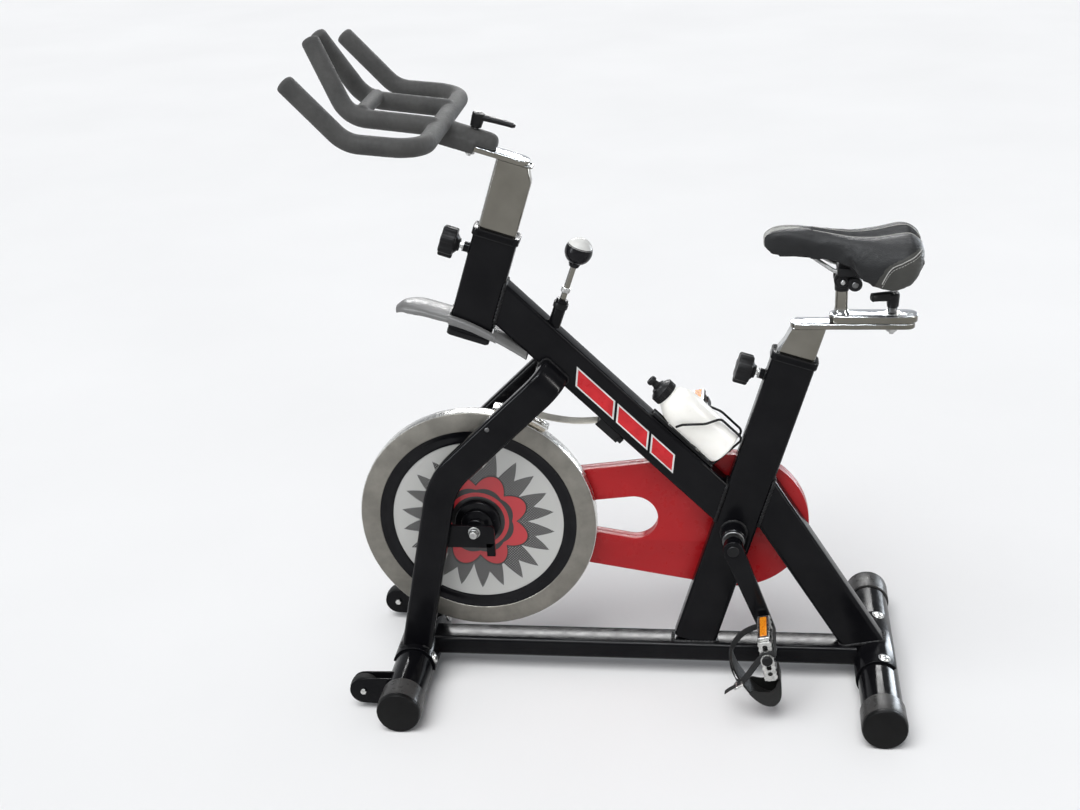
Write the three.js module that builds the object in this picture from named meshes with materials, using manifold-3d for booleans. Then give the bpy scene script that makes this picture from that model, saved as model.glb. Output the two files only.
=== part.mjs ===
// Indoor spin bike, built as an assembly of separate pieces.
//
// Millimetres, +Z up. The bike looks towards -X, its left (rider's left) side is -Y, and the drive
// side, with the belt guard, is +Y. Places are first given with x = 0 at the flywheel's centre, y = 0
// in the bike's middle plane and z = 0 on the floor. The whole group is then moved along X, so that
// the part's origin is on the floor, below the middle of its bounding box.

import * as THREE from 'three';
import { mergeVertices } from 'three/addons/utils/BufferGeometryUtils.js';
import Module from 'manifold-3d';

const wasm = await Module();
wasm.setup();

// ------------------------------------------------------------------ driving dimensions

const GAP = 0.3; // left between pieces that touch

const ORIGIN_X = 283.3; // from the flywheel's centre to the middle of the bounding box

const FLYWHEEL = { x: 0, z: 325, radius: 228.5, halfWidth: 14 };
const CRANK = { x: 486.5, z: 315, arm: 175, angle: 21 };

const HEAD = { x: 65.3, z: 889, tilt: 18 }; // head tube's top, and its lean from the vertical
const SEAT = { x: CRANK.x, z: CRANK.z, tilt: 17 }; // the seat tube's line passes the crank axis
const MAIN = { x: 419, z: 419, tilt: -45 }; // a point on the main tube's middle line
const STRUT = { x: 590.4, z: 304, tilt: -32 };

const TUBE = { depth: 80, width: 40, corner: 8, wall: 2.5 };
const MAIN_DEPTH = 72;
const STRUT_DEPTH = 76;
const POST = { depth: 70, width: 30, corner: 7, wall: 2 };
const HEAD_LENGTH = 185;
const SEAT_TOP = 355;
const COLLAR_HEIGHT = 14;
const HEAD_PIN = -32.5; // height of the pop pin on the head tube
const SEAT_PIN = 315.5;

const RAIL = { bottom: 31, top: 71.3, width: 60 };

const FOOT = {
  radius: 41.4,
  cap: 42.2,
  tube: 38,
  half: 248.5,
  capLength: 59,
  bracketHalf: 89,
  bracketRadius: 42,
};
const FRONT_FOOT_X = -132;
const REAR_FOOT_X = 759.5;
const WHEEL = { x: -213, y: 163.5, z: 41.4, radius: 28, halfWidth: 8.5 };

const LEG = { depth: 58, width: 26, y: 61 };

const GUARD = { inner: 22, outer: 46.5, seam: 34.5, wall: 2.5, rear: 141, front: 68 };
const WINDOW = { x: 298, z: 320, r: 45, xFront: 140, zFront: 324, rFront: 22 };
const BELT = { middle: 35, halfWidth: 8, driveRadius: 101, flywheelRadius: 38 };

// The flat arms on the two posts, which their sliding pieces ride on.
const ARM = { top: 154, thickness: 10, width: 40, rear: 21, front: -140, slot: [-126, -42] };
const STEM = { v: 160.5, radius: 20, rear: -39, front: -152, bolt: -84 };
const BAR_RADIUS = 16.3;

const SEAT_ARM = { bottom: 722, top: 732, left: 584, right: 800, slot: [692, 788] };
const SLIDER = { top: 747, left: 651, right: 804, post: 671.5, bolt: 760 };
const SADDLE_PIVOT_Z = 812;

const PEDAL = { inner: 104, outer: 196, toe: 48, heel: 37, half: 12, tilt: 10.5 };
const BARREL = { radius: 12, inner: 98, outer: 206 };
const STRAP = { x: -19, lean: 0.2, half: 46.7, top: 67.7, thickness: 2.3 };

const BRAKE = { x: 164.4, z: 729, tilt: 19.6, padAngle: 23.3, padHalfAngle: 13 };

const BOTTLE = { offset: 80.5, radius: 36.5, bottom: 8, shoulder: 128, neck: 158, cap: 181, top: 200 };

// ------------------------------------------------------------------ materials

const paint = (color, roughness, metalness) =>
  new THREE.MeshStandardMaterial({ color, roughness, metalness });
const blackPaint = paint(0x0c0c0e, 0.25, 0.1);
const blackPlastic = paint(0x141416, 0.55, 0);
const greyCap = paint(0x6a6764, 0.5, 0.3);
const greyPlastic = paint(0x7d7d7e, 0.45, 0);
const redPlastic = paint(0xa01c22, 0.3, 0);
const chrome = paint(0xd9d9d6, 0.12, 1);
const steel = paint(0x9a9a98, 0.35, 1);
const castIron = paint(0x8b8a83, 0.5, 0.8);
const foam = paint(0x5b5957, 0.85, 0);
const rubber = paint(0x1c1c1c, 0.85, 0);
const leather = paint(0x1b1b1c, 0.6, 0);
const webbing = paint(0xe6dcc6, 0.9, 0);
const felt = paint(0xcfc4ae, 0.95, 0);
const clearPlastic = paint(0xf2efe8, 0.35, 0);

// ------------------------------------------------------------------ geometry helpers

const radians = (degrees) => (degrees * Math.PI) / 180;

// A closed three.js geometry as a solid, with its faces pointing out.
function solidOf(geometry) {
  const bare = geometry.clone();
  bare.deleteAttribute('normal');
  bare.deleteAttribute('uv');
  const merged = mergeVertices(bare, 1e-4);
  const vertProperties = new Float32Array(merged.attributes.position.array);
  const kept = [];
  for (let i = 0; i < merged.index.count; i += 3) {
    const [a, b, c] = [merged.index.getX(i), merged.index.getX(i + 1), merged.index.getX(i + 2)];
    if (a !== b && b !== c && c !== a) kept.push(a, b, c);
  }
  const triVerts = new Uint32Array(kept);
  let solid = new wasm.Manifold(new wasm.Mesh({ numProp: 3, vertProperties, triVerts }));
  if (solid.volume() < 0) {
    solid = new wasm.Manifold(new wasm.Mesh({ numProp: 3, vertProperties, triVerts: triVerts.reverse() }));
  }
  return solid;
}

function geometryOf(solid) {
  const { vertProperties, triVerts, numProp } = solid.getMesh();
  const positions = new Float32Array((vertProperties.length / numProp) * 3);
  for (let i = 0; i < positions.length / 3; i += 1) {
    positions.set(vertProperties.subarray(i * numProp, i * numProp + 3), i * 3);
  }
  const geometry = new THREE.BufferGeometry();
  geometry.setAttribute('position', new THREE.BufferAttribute(positions, 3));
  geometry.setIndex(new THREE.BufferAttribute(new Uint32Array(triVerts), 1));
  geometry.computeVertexNormals();
  return geometry;
}

const join = (...geometries) => geometries.map(solidOf).reduce((a, b) => a.add(b));
const cut = (solid, ...tools) => tools.reduce((rest, tool) => rest.subtract(solidOf(tool)), solid);

// What a cut leaves of a tube: the biggest of its pieces.
const biggest = (solid) => solid.decompose().sort((a, b) => b.volume() - a.volume())[0];

// A frame in the bike's middle plane: local Z leans back by the tilt, local X is in the plane too.
function leaning({ x, z, tilt }) {
  return new THREE.Matrix4().makeRotationY(radians(tilt)).setPosition(x, 0, z);
}

function roundedRectangle(width, height, radius) {
  const [a, b] = [width / 2, height / 2];
  const shape = new THREE.Shape();
  shape.moveTo(a, -b + radius);
  shape.lineTo(a, b - radius);
  shape.absarc(a - radius, b - radius, radius, 0, Math.PI / 2);
  shape.lineTo(-a + radius, b);
  shape.absarc(-a + radius, b - radius, radius, Math.PI / 2, Math.PI);
  shape.lineTo(-a, -b + radius);
  shape.absarc(-a + radius, -b + radius, radius, Math.PI, 1.5 * Math.PI);
  shape.lineTo(a - radius, -b);
  shape.absarc(a - radius, -b + radius, radius, 1.5 * Math.PI, 2 * Math.PI);
  return shape;
}

function tubeSection(depth, width, corner, wall) {
  const shape = roundedRectangle(depth, width, corner);
  shape.holes.push(roundedRectangle(depth - 2 * wall, width - 2 * wall, corner - wall));
  return shape;
}

// A section in local X and Y, run along local Z.
function prism(shape, z0, z1, curveSegments = 1) {
  const settings = { depth: z1 - z0, bevelEnabled: false, curveSegments };
  return new THREE.ExtrudeGeometry(shape, settings).translate(0, 0, z0);
}

// An outline in X and Z, run along Y.
function slab(shape, y0, y1, curveSegments = 6) {
  const settings = { depth: y1 - y0, bevelEnabled: false, curveSegments };
  return new THREE.ExtrudeGeometry(shape, settings).rotateX(Math.PI / 2).translate(0, y1, 0);
}

function block(x0, x1, y0, y1, z0, z1) {
  const geometry = new THREE.BoxGeometry(x1 - x0, y1 - y0, z1 - z0);
  return geometry.translate((x0 + x1) / 2, (y0 + y1) / 2, (z0 + z1) / 2);
}

function polygon(points) {
  return new THREE.Shape(points.map(([x, y]) => new THREE.Vector2(x, y)));
}

// Round pieces: a rod along Y, one along Z, and a turned profile of [radius, y] points.
function rodY(radius, y0, y1, sides = 16) {
  return new THREE.CylinderGeometry(radius, radius, y1 - y0, sides).translate(0, (y0 + y1) / 2, 0);
}

function rodZ(radius, z0, z1, sides = 16) {
  return rodY(radius, z0, z1, sides).rotateX(Math.PI / 2);
}

function rodX(radius, x0, x1, sides = 16) {
  return rodY(radius, x0, x1, sides).rotateZ(-Math.PI / 2);
}

function turned(profile, sides = 24) {
  return new THREE.LatheGeometry(profile.map(([r, y]) => new THREE.Vector2(r, y)), sides);
}

// A turned ring with a square section.
function ringY(outer, inner, y0, y1, sides = 24) {
  return turned([[inner, y0], [outer, y0], [outer, y1], [inner, y1], [inner, y0]], sides);
}

// A flat arm with round ends and a long slot for a clamp bolt.
function slottedArm(x0, x1, [slot0, slot1], z0, z1) {
  const plan = new THREE.Shape();
  plan.setFromPoints(roundedRectangle(x1 - x0, ARM.width, 17).getPoints(3));
  const slot = roundedRectangle(slot1 - slot0, 11, 5).getPoints(1);
  const shift = (slot0 + slot1 - x0 - x1) / 2;
  plan.holes.push(new THREE.Path(slot.map((p) => new THREE.Vector2(p.x + shift, p.y))));
  return prism(plan, z0, z1).translate((x0 + x1) / 2, 0, 0);
}

// The outline round two circles of different sizes, as a belt runs round two pulleys.
function roundTwo(x1, z1, r1, x2, z2, r2) {
  const distance = Math.hypot(x2 - x1, z2 - z1);
  const line = Math.atan2(z2 - z1, x2 - x1);
  const spread = Math.acos((r1 - r2) / distance);
  const shape = new THREE.Shape();
  shape.absarc(x1, z1, r1, line + spread, line - spread + 2 * Math.PI, false);
  shape.absarc(x2, z2, r2, line - spread, line + spread, false);
  shape.closePath();
  return shape;
}

// Rings of points, skinned into one closed body with flat ends.
function skin(rings) {
  const sides = rings[0].length;
  const positions = rings.flat().flatMap((p) => [p.x, p.y, p.z]);
  const index = [];
  for (let i = 0; i + 1 < rings.length; i += 1) {
    for (let j = 0; j < sides; j += 1) {
      const next = (j + 1) % sides;
      const [a, b, c, d] = [i * sides + j, i * sides + next, (i + 1) * sides + next, (i + 1) * sides + j];
      index.push(a, b, c, a, c, d);
    }
  }
  for (const [ring, flip] of [[0, true], [rings.length - 1, false]]) {
    const faces = THREE.ShapeUtils.triangulateShape(flatten(rings[ring]), []);
    for (const [a, b, c] of faces) {
      const [p, q, r] = [ring * sides + a, ring * sides + b, ring * sides + c];
      index.push(...(flip ? [p, r, q] : [p, q, r]));
    }
  }
  const geometry = new THREE.BufferGeometry();
  geometry.setAttribute('position', new THREE.Float32BufferAttribute(positions, 3));
  geometry.setIndex(index);
  return geometry;
}

// The points of a flat ring, in its own plane.
function flatten(ring) {
  const a = ring[1].clone().sub(ring[0]).normalize();
  const normal = new THREE.Vector3();
  ring.forEach((p, i) => {
    const q = ring[(i + 1) % ring.length];
    normal.add(new THREE.Vector3().crossVectors(p, q));
  });
  const b = normal.normalize().cross(a);
  return ring.map((p) => new THREE.Vector2(p.dot(a), p.dot(b)));
}

// A path of straight runs, with each inner corner rounded by an arc-like curve.
function roundedPath(points, radii, steps = 5) {
  const corners = points.map((p) => new THREE.Vector3(...p));
  const path = [corners[0]];
  for (let i = 1; i + 1 < corners.length; i += 1) {
    const before = corners[i - 1].clone().sub(corners[i]).normalize();
    const after = corners[i + 1].clone().sub(corners[i]).normalize();
    const half = before.angleTo(after) / 2;
    const radius = radii[i - 1];
    const back = radius / Math.tan(half);
    const inward = before.clone().add(after).normalize();
    const middle = corners[i].clone().addScaledVector(inward, radius / Math.sin(half));
    const start = corners[i].clone().addScaledVector(before, back).sub(middle);
    const axis = new THREE.Vector3().crossVectors(before, after).normalize().negate();
    const turn = Math.PI - 2 * half;
    for (let k = 0; k <= steps; k += 1) {
      path.push(start.clone().applyAxisAngle(axis, (turn * k) / steps).add(middle));
    }
  }
  path.push(corners[corners.length - 1]);
  return path;
}

// A section of [across, up] points swept along a path without twist; across starts at firstAcross.
function sweep(path, section, firstAcross) {
  const tangents = path.map((p, i) => {
    const from = path[Math.max(i - 1, 0)];
    const to = path[Math.min(i + 1, path.length - 1)];
    return to.clone().sub(from).normalize();
  });
  const across = firstAcross.clone();
  across.addScaledVector(tangents[0], -across.dot(tangents[0])).normalize();
  const rings = path.map((p, i) => {
    if (i > 0) {
      across.applyQuaternion(new THREE.Quaternion().setFromUnitVectors(tangents[i - 1], tangents[i]));
    }
    const up = new THREE.Vector3().crossVectors(tangents[i], across);
    return section.map(([a, b]) => p.clone().addScaledVector(across, a).addScaledVector(up, b));
  });
  return skin(rings);
}

function circle(radius, sides) {
  return Array.from({ length: sides }, (_, i) => {
    const angle = (2 * Math.PI * i) / sides;
    return [radius * Math.cos(angle), radius * Math.sin(angle)];
  });
}

function pipe(path, radius, sides, firstAcross) {
  return sweep(path, circle(radius, sides), firstAcross);
}

// ------------------------------------------------------------------ the assembly

const bike = new THREE.Group();
bike.position.x = -ORIGIN_X;

function add(name, piece, material, parent = bike) {
  const geometry = piece.isBufferGeometry ? geometryOf(solidOf(piece)) : geometryOf(piece);
  const mesh = new THREE.Mesh(geometry, material);
  mesh.name = name;
  parent.add(mesh);
  return mesh;
}

function group(position, rotationY = 0, parent = bike) {
  const holder = new THREE.Group();
  holder.position.set(...position);
  holder.rotation.y = rotationY;
  parent.add(holder);
  return holder;
}

const inHead = leaning(HEAD);
const inSeat = leaning(SEAT);
const inMain = leaning(MAIN);
const inStrut = leaning(STRUT);
const inBrake = leaning(BRAKE);

// ------------------------------------------------------------------ frame tubes

// What a neighbour must stay out of, slightly larger than the piece itself.
const headSpace = block(-TUBE.depth / 2 - GAP, TUBE.depth / 2 + GAP, -30, 30, -600, 300).applyMatrix4(inHead);
const seatSpace = block(-TUBE.depth / 2 - GAP, TUBE.depth / 2 + GAP, -30, 30, -600, 600).applyMatrix4(inSeat);
const railSpace = block(-400, 1100, -50, 50, -200, RAIL.top + GAP);
const shellSpace = rodY(23 + GAP, -80, 80, 32).translate(CRANK.x, 0, CRANK.z);

function bracketSpace(x) {
  const half = FOOT.bracketHalf + 10;
  return rodY(FOOT.bracketRadius + GAP, -half, half, 36).translate(x, 0, FOOT.radius);
}

function buildHeadTube() {
  const tube = prism(tubeSection(TUBE.depth, TUBE.width, TUBE.corner, TUBE.wall), -HEAD_LENGTH, 0);
  const boss = rodX(9, -TUBE.depth / 2 - 12, -TUBE.depth / 2 + 1.5, 16).translate(0, 0, HEAD_PIN);
  const pinHole = rodX(5.4, -TUBE.depth, 0, 16).translate(0, 0, HEAD_PIN);
  add('head_tube', cut(join(tube, boss), pinHole), blackPaint, headGroup);
}

function buildSeatTube() {
  const tube = prism(tubeSection(TUBE.depth, TUBE.width, TUBE.corner, TUBE.wall), -300, SEAT_TOP);
  const boss = rodX(9, -TUBE.depth / 2 - 12, -TUBE.depth / 2 + 1.5, 16).translate(0, 0, SEAT_PIN);
  const pinHole = rodX(5.4, -TUBE.depth, 0, 16).translate(0, 0, SEAT_PIN);
  const solid = cut(join(tube, boss), pinHole);
  const standing = solid.transform(inSeat.elements);
  add('seat_tube', biggest(cut(standing, railSpace, shellSpace)), blackPaint);
}

function buildMainTube() {
  const tube = prism(tubeSection(MAIN_DEPTH, TUBE.width, 7, TUBE.wall), -160, 560).applyMatrix4(inMain);
  const shell = biggest(cut(solidOf(tube), headSpace, seatSpace));
  const brakeBoss = rodZ(11.5, -88, 47, 24).applyMatrix4(inBrake);
  const strapBlock = block(-MAIN_DEPTH / 2 - 15, -MAIN_DEPTH / 2 + 1, -14, 14, 158, 212).applyMatrix4(inMain);
  const rodHole = rodZ(6.2, -200, 120, 16).applyMatrix4(inBrake);
  const welded = shell.add(solidOf(brakeBoss)).add(solidOf(strapBlock));
  add('main_tube', cut(welded, rodHole), blackPaint);
}

function buildStrut() {
  const section = tubeSection(STRUT_DEPTH, TUBE.width, TUBE.corner, TUBE.wall);
  const tube = prism(section, -340, 160).applyMatrix4(inStrut);
  add('rear_strut', biggest(cut(solidOf(tube), seatSpace, railSpace, bracketSpace(REAR_FOOT_X))), blackPaint);
}

function buildRail() {
  const height = RAIL.top - RAIL.bottom;
  const section = tubeSection(height, RAIL.width, 9, TUBE.wall);
  const tube = prism(section, FRONT_FOOT_X, REAR_FOOT_X).rotateY(Math.PI / 2);
  tube.translate(0, 0, (RAIL.top + RAIL.bottom) / 2);
  const solid = cut(solidOf(tube), bracketSpace(FRONT_FOOT_X), bracketSpace(REAR_FOOT_X));
  add('base_rail', biggest(solid), blackPaint);
}

// Each fork leg starts as an elbow on the main tube's side, runs down beside the flywheel, bends and
// ends on the front bracket. A plate on its rear edge carries the flywheel's axle.
function buildForkLeg(side, name) {
  const down = new THREE.Vector3(-0.7193, 0, -0.6947);
  const top = new THREE.Vector3(107.1, 0, 587.1).addScaledVector(down, -73);
  const elbow = 40;
  const path = [];
  for (let k = 0; k <= 4; k += 1) {
    const angle = (Math.PI / 2) * (k / 4);
    const out = LEG.y - elbow + elbow * Math.sin(angle);
    path.push(top.clone().addScaledVector(down, elbow * (1 - Math.cos(angle))).setY(side * out));
  }
  const knee = [-54, side * LEG.y, 431.6];
  const foot = [-132, side * LEG.y, 55];
  path.push(...roundedPath([path[path.length - 1].toArray(), knee, foot], [150], 4).slice(1));
  const section = (wall) =>
    roundedRectangle(LEG.depth - 2 * wall, LEG.width - 2 * wall, 8 - wall)
      .getPoints(1)
      .slice(0, -1)
      .map((p) => [p.x, p.y]);
  const along = new THREE.Vector3().crossVectors(new THREE.Vector3(0, 1, 0), down);
  const leg = solidOf(sweep(path, section(0), along));
  const bore = sweep(path, section(TUBE.wall), along);
  const plate = new THREE.Shape();
  plate.moveTo(-80, 292);
  plate.lineTo(30, 292);
  plate.lineTo(38, 300);
  plate.lineTo(38, 332);
  plate.lineTo(32, 338);
  plate.lineTo(-70, 338);
  const edges = [side * 50, side * 58].sort((a, b) => a - b);
  const tab = block(22, 38, edges[0], edges[1], 274, 301);
  const axleHole = rodY(7.6, -90, 90, 16).translate(FLYWHEEL.x, 0, FLYWHEEL.z);
  const solid = leg.add(solidOf(slab(plate, ...edges))).add(solidOf(tab));
  const mainSpace = block(-MAIN_DEPTH, MAIN_DEPTH, -TUBE.width / 2 - GAP, TUBE.width / 2 + GAP, -200, 600);
  mainSpace.applyMatrix4(inMain);
  add(name, biggest(cut(solid, bore, axleHole, mainSpace, bracketSpace(FRONT_FOOT_X))), blackPaint);
}

// ------------------------------------------------------------------ feet

// The half shell that wraps a foot tube where the frame is welded to it.
function buildFootBracket(name, x, fromDegrees, toDegrees) {
  const outer = FOOT.bracketRadius;
  const inner = FOOT.tube + GAP;
  const [from, to] = [radians(fromDegrees), radians(toDegrees)];
  const shape = new THREE.Shape();
  shape.absarc(0, 0, outer, from, to, false);
  shape.absarc(0, 0, inner, to, from, true);
  shape.closePath();
  const shell = slab(shape, -FOOT.bracketHalf, FOOT.bracketHalf, 9);
  add(name, shell, blackPaint, group([x, 0, FOOT.radius]));
}

function buildFoot(name, x, withWheels) {
  const at = group([x, 0, FOOT.radius]);
  let tube = solidOf(ringY(FOOT.tube, FOOT.tube - TUBE.wall, -FOOT.half + 6, FOOT.half - 6, 28));
  if (withWheels) {
    for (const side of [-1, 1]) {
      for (const y of [side * WHEEL.y - 13.5, side * WHEEL.y + 10]) {
        const cheek = slab(roundTwo(WHEEL.x - x, 0, 27, 0, 0, 30), y, y + 3.5, 3);
        tube = tube.add(solidOf(cheek));
      }
      const [a, b] = [side * (WHEEL.y - 17), side * (WHEEL.y + 17)].sort((p, q) => p - q);
      const bolt = rodY(5, a, b, 12).translate(WHEEL.x - x, 0, 0);
      tube = tube.add(solidOf(bolt));
    }
    tube = cut(tube, rodY(FOOT.tube - TUBE.wall, -FOOT.half, FOOT.half, 28));
  }
  add(name, tube, blackPaint, at);
}

// A moulded cap over the end of a foot tube, a little flat where it stands.
function buildCap(name, x, side) {
  const at = group([x, 0, FOOT.radius]);
  const [open, end] = [side * (FOOT.half - FOOT.capLength), side * FOOT.half];
  const profile = [
    [0, end],
    [FOOT.cap - 3, end],
    [FOOT.cap, end - side * 3],
    [FOOT.cap, open],
    [FOOT.tube + GAP, open],
    [FOOT.tube + GAP, end - side * 5],
    [0, end - side * 5],
  ];
  const belowFloor = block(-80, 80, -300, 300, -80, -FOOT.radius);
  add(name, cut(solidOf(turned(profile, 28)), belowFloor), greyCap, at);
}

function buildTransportWheel(name, side) {
  const at = group([WHEEL.x, side * WHEEL.y, WHEEL.z]);
  const half = WHEEL.halfWidth;
  const profile = [
    [5.4, -half],
    [WHEEL.radius - 3, -half],
    [WHEEL.radius, -half + 3],
    [WHEEL.radius, half - 3],
    [WHEEL.radius - 3, half],
    [5.4, half],
    [5.4, -half],
  ];
  add(name, turned(profile, 20), rubber, at);
}

// ------------------------------------------------------------------ head: collar, plug, sweat guard

function buildBushing(name, parent, top, pinAt) {
  const inset = 2 * TUBE.wall + 2 * GAP;
  const outer = roundedRectangle(TUBE.depth - inset, TUBE.width - inset, 5);
  const lip = roundedRectangle(TUBE.depth + 6, TUBE.width + 6, 10);
  const bore = roundedRectangle(POST.depth + 2 * GAP, POST.width + 2 * GAP, POST.corner);
  const liner = prism(outer, top - 60, top + 2);
  const collar = prism(lip, top + GAP, top + COLLAR_HEIGHT);
  const hole = prism(bore, top - 80, top + 40);
  const pinHole = rodX(5.4, -TUBE.depth, 0, 16).translate(0, 0, pinAt);
  add(name, cut(join(liner, collar), hole, pinHole), blackPlastic, parent);
}

function buildHeadPlug() {
  const outline = roundedRectangle(TUBE.depth, TUBE.width, TUBE.corner);
  const plug = prism(outline, -HEAD_LENGTH - 13, -HEAD_LENGTH - GAP);
  add('head_plug', plug, blackPlastic, headGroup);
}

// A curved plastic deflector that keeps sweat off the brake and the flywheel.
function buildSweatGuard() {
  const top = new THREE.SplineCurve([
    new THREE.Vector2(-128, 764),
    new THREE.Vector2(-107, 774),
    new THREE.Vector2(-78, 770),
    new THREE.Vector2(-47, 762),
    new THREE.Vector2(-19, 752),
    new THREE.Vector2(14, 738),
    new THREE.Vector2(51, 718),
    new THREE.Vector2(79, 698),
    new THREE.Vector2(106, 675),
  ]).getPoints(12);
  const bottom = new THREE.SplineCurve([
    new THREE.Vector2(97, 666),
    new THREE.Vector2(50, 702),
    new THREE.Vector2(17, 719),
    new THREE.Vector2(-32, 736),
    new THREE.Vector2(-85, 751),
    new THREE.Vector2(-118, 756),
  ]).getPoints(9);
  const side = slab(new THREE.Shape([...top, ...bottom]), -35, 35);
  const tip = new THREE.Shape();
  tip.moveTo(140, -35);
  tip.lineTo(140, 35);
  tip.lineTo(-100, 35);
  tip.quadraticCurveTo(-129, 32, -129, 0);
  tip.quadraticCurveTo(-129, -32, -100, -35);
  const plan = prism(tip, 600, 800, 4);
  const hole = roundedRectangle(TUBE.depth + 1, TUBE.width + 1, TUBE.corner);
  const tubeHole = prism(hole, -300, 0).applyMatrix4(inHead);
  const mainSpace = block(-MAIN_DEPTH / 2 - GAP, MAIN_DEPTH, -60, 60, -200, 600).applyMatrix4(inMain);
  const solid = solidOf(side).intersect(solidOf(plan));
  add('sweat_guard', biggest(cut(solid, tubeHole, mainSpace)), greyPlastic);
}

// ------------------------------------------------------------------ drive

function buildFlywheel() {
  const at = group([FLYWHEEL.x, 0, FLYWHEEL.z]);
  const [r, w] = [FLYWHEEL.radius, FLYWHEEL.halfWidth];
  const profile = [
    [17.8, -44],
    [24, -44],
    [24, -20],
    [44, -20],
    [44, -10],
    [168, -10],
    [172, -w],
    [r, -w],
    [r, w],
    [172, w],
    [168, 10],
    [24, 10],
    [24, 43.4],
    [17.8, 43.4],
    [17.8, -44],
  ];
  add('flywheel', turned(profile, 48), castIron, at);
  const beltLow = BELT.middle - BELT.halfWidth;
  const beltHigh = BELT.middle + BELT.halfWidth;
  const rim = BELT.flywheelRadius - 0.8;
  const pulley = [
    [24 + GAP, beltLow],
    [rim + 2, beltLow],
    [rim + 2, beltLow + 1],
    [rim, beltLow + 1],
    [rim, beltHigh],
    [24 + GAP, beltHigh],
    [24 + GAP, beltLow],
  ];
  add('flywheel_pulley', turned(pulley, 28), steel, at);
  for (const [name, y] of [['hub_bearing_left', -43], ['hub_bearing_right', 32]]) {
    add(name, ringY(17.5, 7.6, y, y + 11, 20), steel, at);
  }
  const axle = turned([
    [0, -68],
    [7.2, -68],
    [7.2, -65],
    [11, -65],
    [11, -58.4],
    [7.2, -58.4],
    [7.2, 58.4],
    [11, 58.4],
    [11, 65],
    [7.2, 65],
    [7.2, 68],
    [0, 68],
  ], 16);
  add('flywheel_axle', axle, steel, at);
}

function buildBelt() {
  const [low, high] = [BELT.middle - BELT.halfWidth + 1.5, BELT.middle + BELT.halfWidth - 1.5];
  const { driveRadius: big, flywheelRadius: small } = BELT;
  const outer = roundTwo(CRANK.x, CRANK.z, big + 3.5, FLYWHEEL.x, FLYWHEEL.z, small + 3.5);
  const inner = roundTwo(CRANK.x, CRANK.z, big, FLYWHEEL.x, FLYWHEEL.z, small);
  const band = solidOf(slab(outer, low, high, 12));
  add('drive_belt', band.subtract(solidOf(slab(inner, low - 5, high + 5, 12))), rubber);
}

// Half of the belt guard: a face and the walls round its edge and round the window.
function buildGuardHalf(name, face, seam, crankHole, axleHole) {
  const [low, high] = [Math.min(face, seam), Math.max(face, seam)];
  const faceInside = face + Math.sign(seam - face) * GUARD.wall;
  const seamPast = seam + Math.sign(seam - face) * 2;
  const [pocketLow, pocketHigh] = [faceInside, seamPast].sort((a, b) => a - b);
  const w = WINDOW;
  const outline = (inset) =>
    roundTwo(CRANK.x, CRANK.z, GUARD.rear - inset, FLYWHEEL.x, FLYWHEEL.z, GUARD.front - inset);
  const window = (outset) => roundTwo(w.x, w.z, w.r + outset, w.xFront, w.zFront, w.rFront + outset);
  const body = solidOf(slab(outline(0), low, high, 10));
  const pocket = solidOf(slab(outline(GUARD.wall), pocketLow, pocketHigh, 10));
  const island = solidOf(slab(window(GUARD.wall), pocketLow - 1, pocketHigh + 1, 6));
  const opening = slab(window(0), low - 5, high + 5, 6);
  const crankBore = rodY(crankHole, low - 5, high + 5, 20).translate(CRANK.x, 0, CRANK.z);
  const axleBore = rodY(axleHole, low - 5, high + 5, 16).translate(FLYWHEEL.x, 0, FLYWHEEL.z);
  add(name, cut(body.subtract(pocket.subtract(island)), opening, crankBore, axleBore), redPlastic);
}

function buildBottomBracket() {
  const at = group([CRANK.x, 0, CRANK.z]);
  add('bottom_bracket_shell', ringY(23, 17.8, -54, 20.5, 24), blackPaint, at);
  for (const [name, y] of [['crank_bearing_left', -51], ['crank_bearing_right', 6]]) {
    add(name, ringY(17.5, 8.8, y, y + 11, 20), steel, at);
  }
  add('crank_spindle', rodY(8.5, -88, 88, 24), steel, at);
  const [low, high] = [BELT.middle - BELT.halfWidth, BELT.middle + BELT.halfWidth];
  const rim = BELT.driveRadius - 0.8;
  const pulley = turned([
    [8.8, 25.5],
    [26, 25.5],
    [26, 33],
    [rim - 9, 33],
    [rim - 9, low],
    [rim, low],
    [rim, high],
    [8.8, high],
    [8.8, 25.5],
  ], 32);
  add('drive_pulley', pulley, steel, at);
}

// A crank arm, with the pedal's spindle screwed into its end. The left one points down.
function buildCrank(name, side) {
  const at = group([CRANK.x, 0, CRANK.z], -radians(CRANK.angle) + (side > 0 ? Math.PI : 0));
  const [near, far] = [side * 80, side * 94].sort((a, b) => a - b);
  const arm = slab(roundTwo(0, 0, 19, 0, -CRANK.arm, 15), near, far, 5);
  const [bossIn, bossOut] = [side * (side < 0 ? 57 : 50), side * 86].sort((a, b) => a - b);
  const boss = rodY(18, bossIn, bossOut, 20);
  const bore = rodY(8.8, ...[side * 30, side * 90].sort((a, b) => a - b), 16);
  const pin = rodY(5.5, ...[side * 84, side * 202].sort((a, b) => a - b), 12).translate(0, 0, -CRANK.arm);
  add(name, cut(join(arm, boss, pin), bore), blackPaint, at);
}

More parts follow.
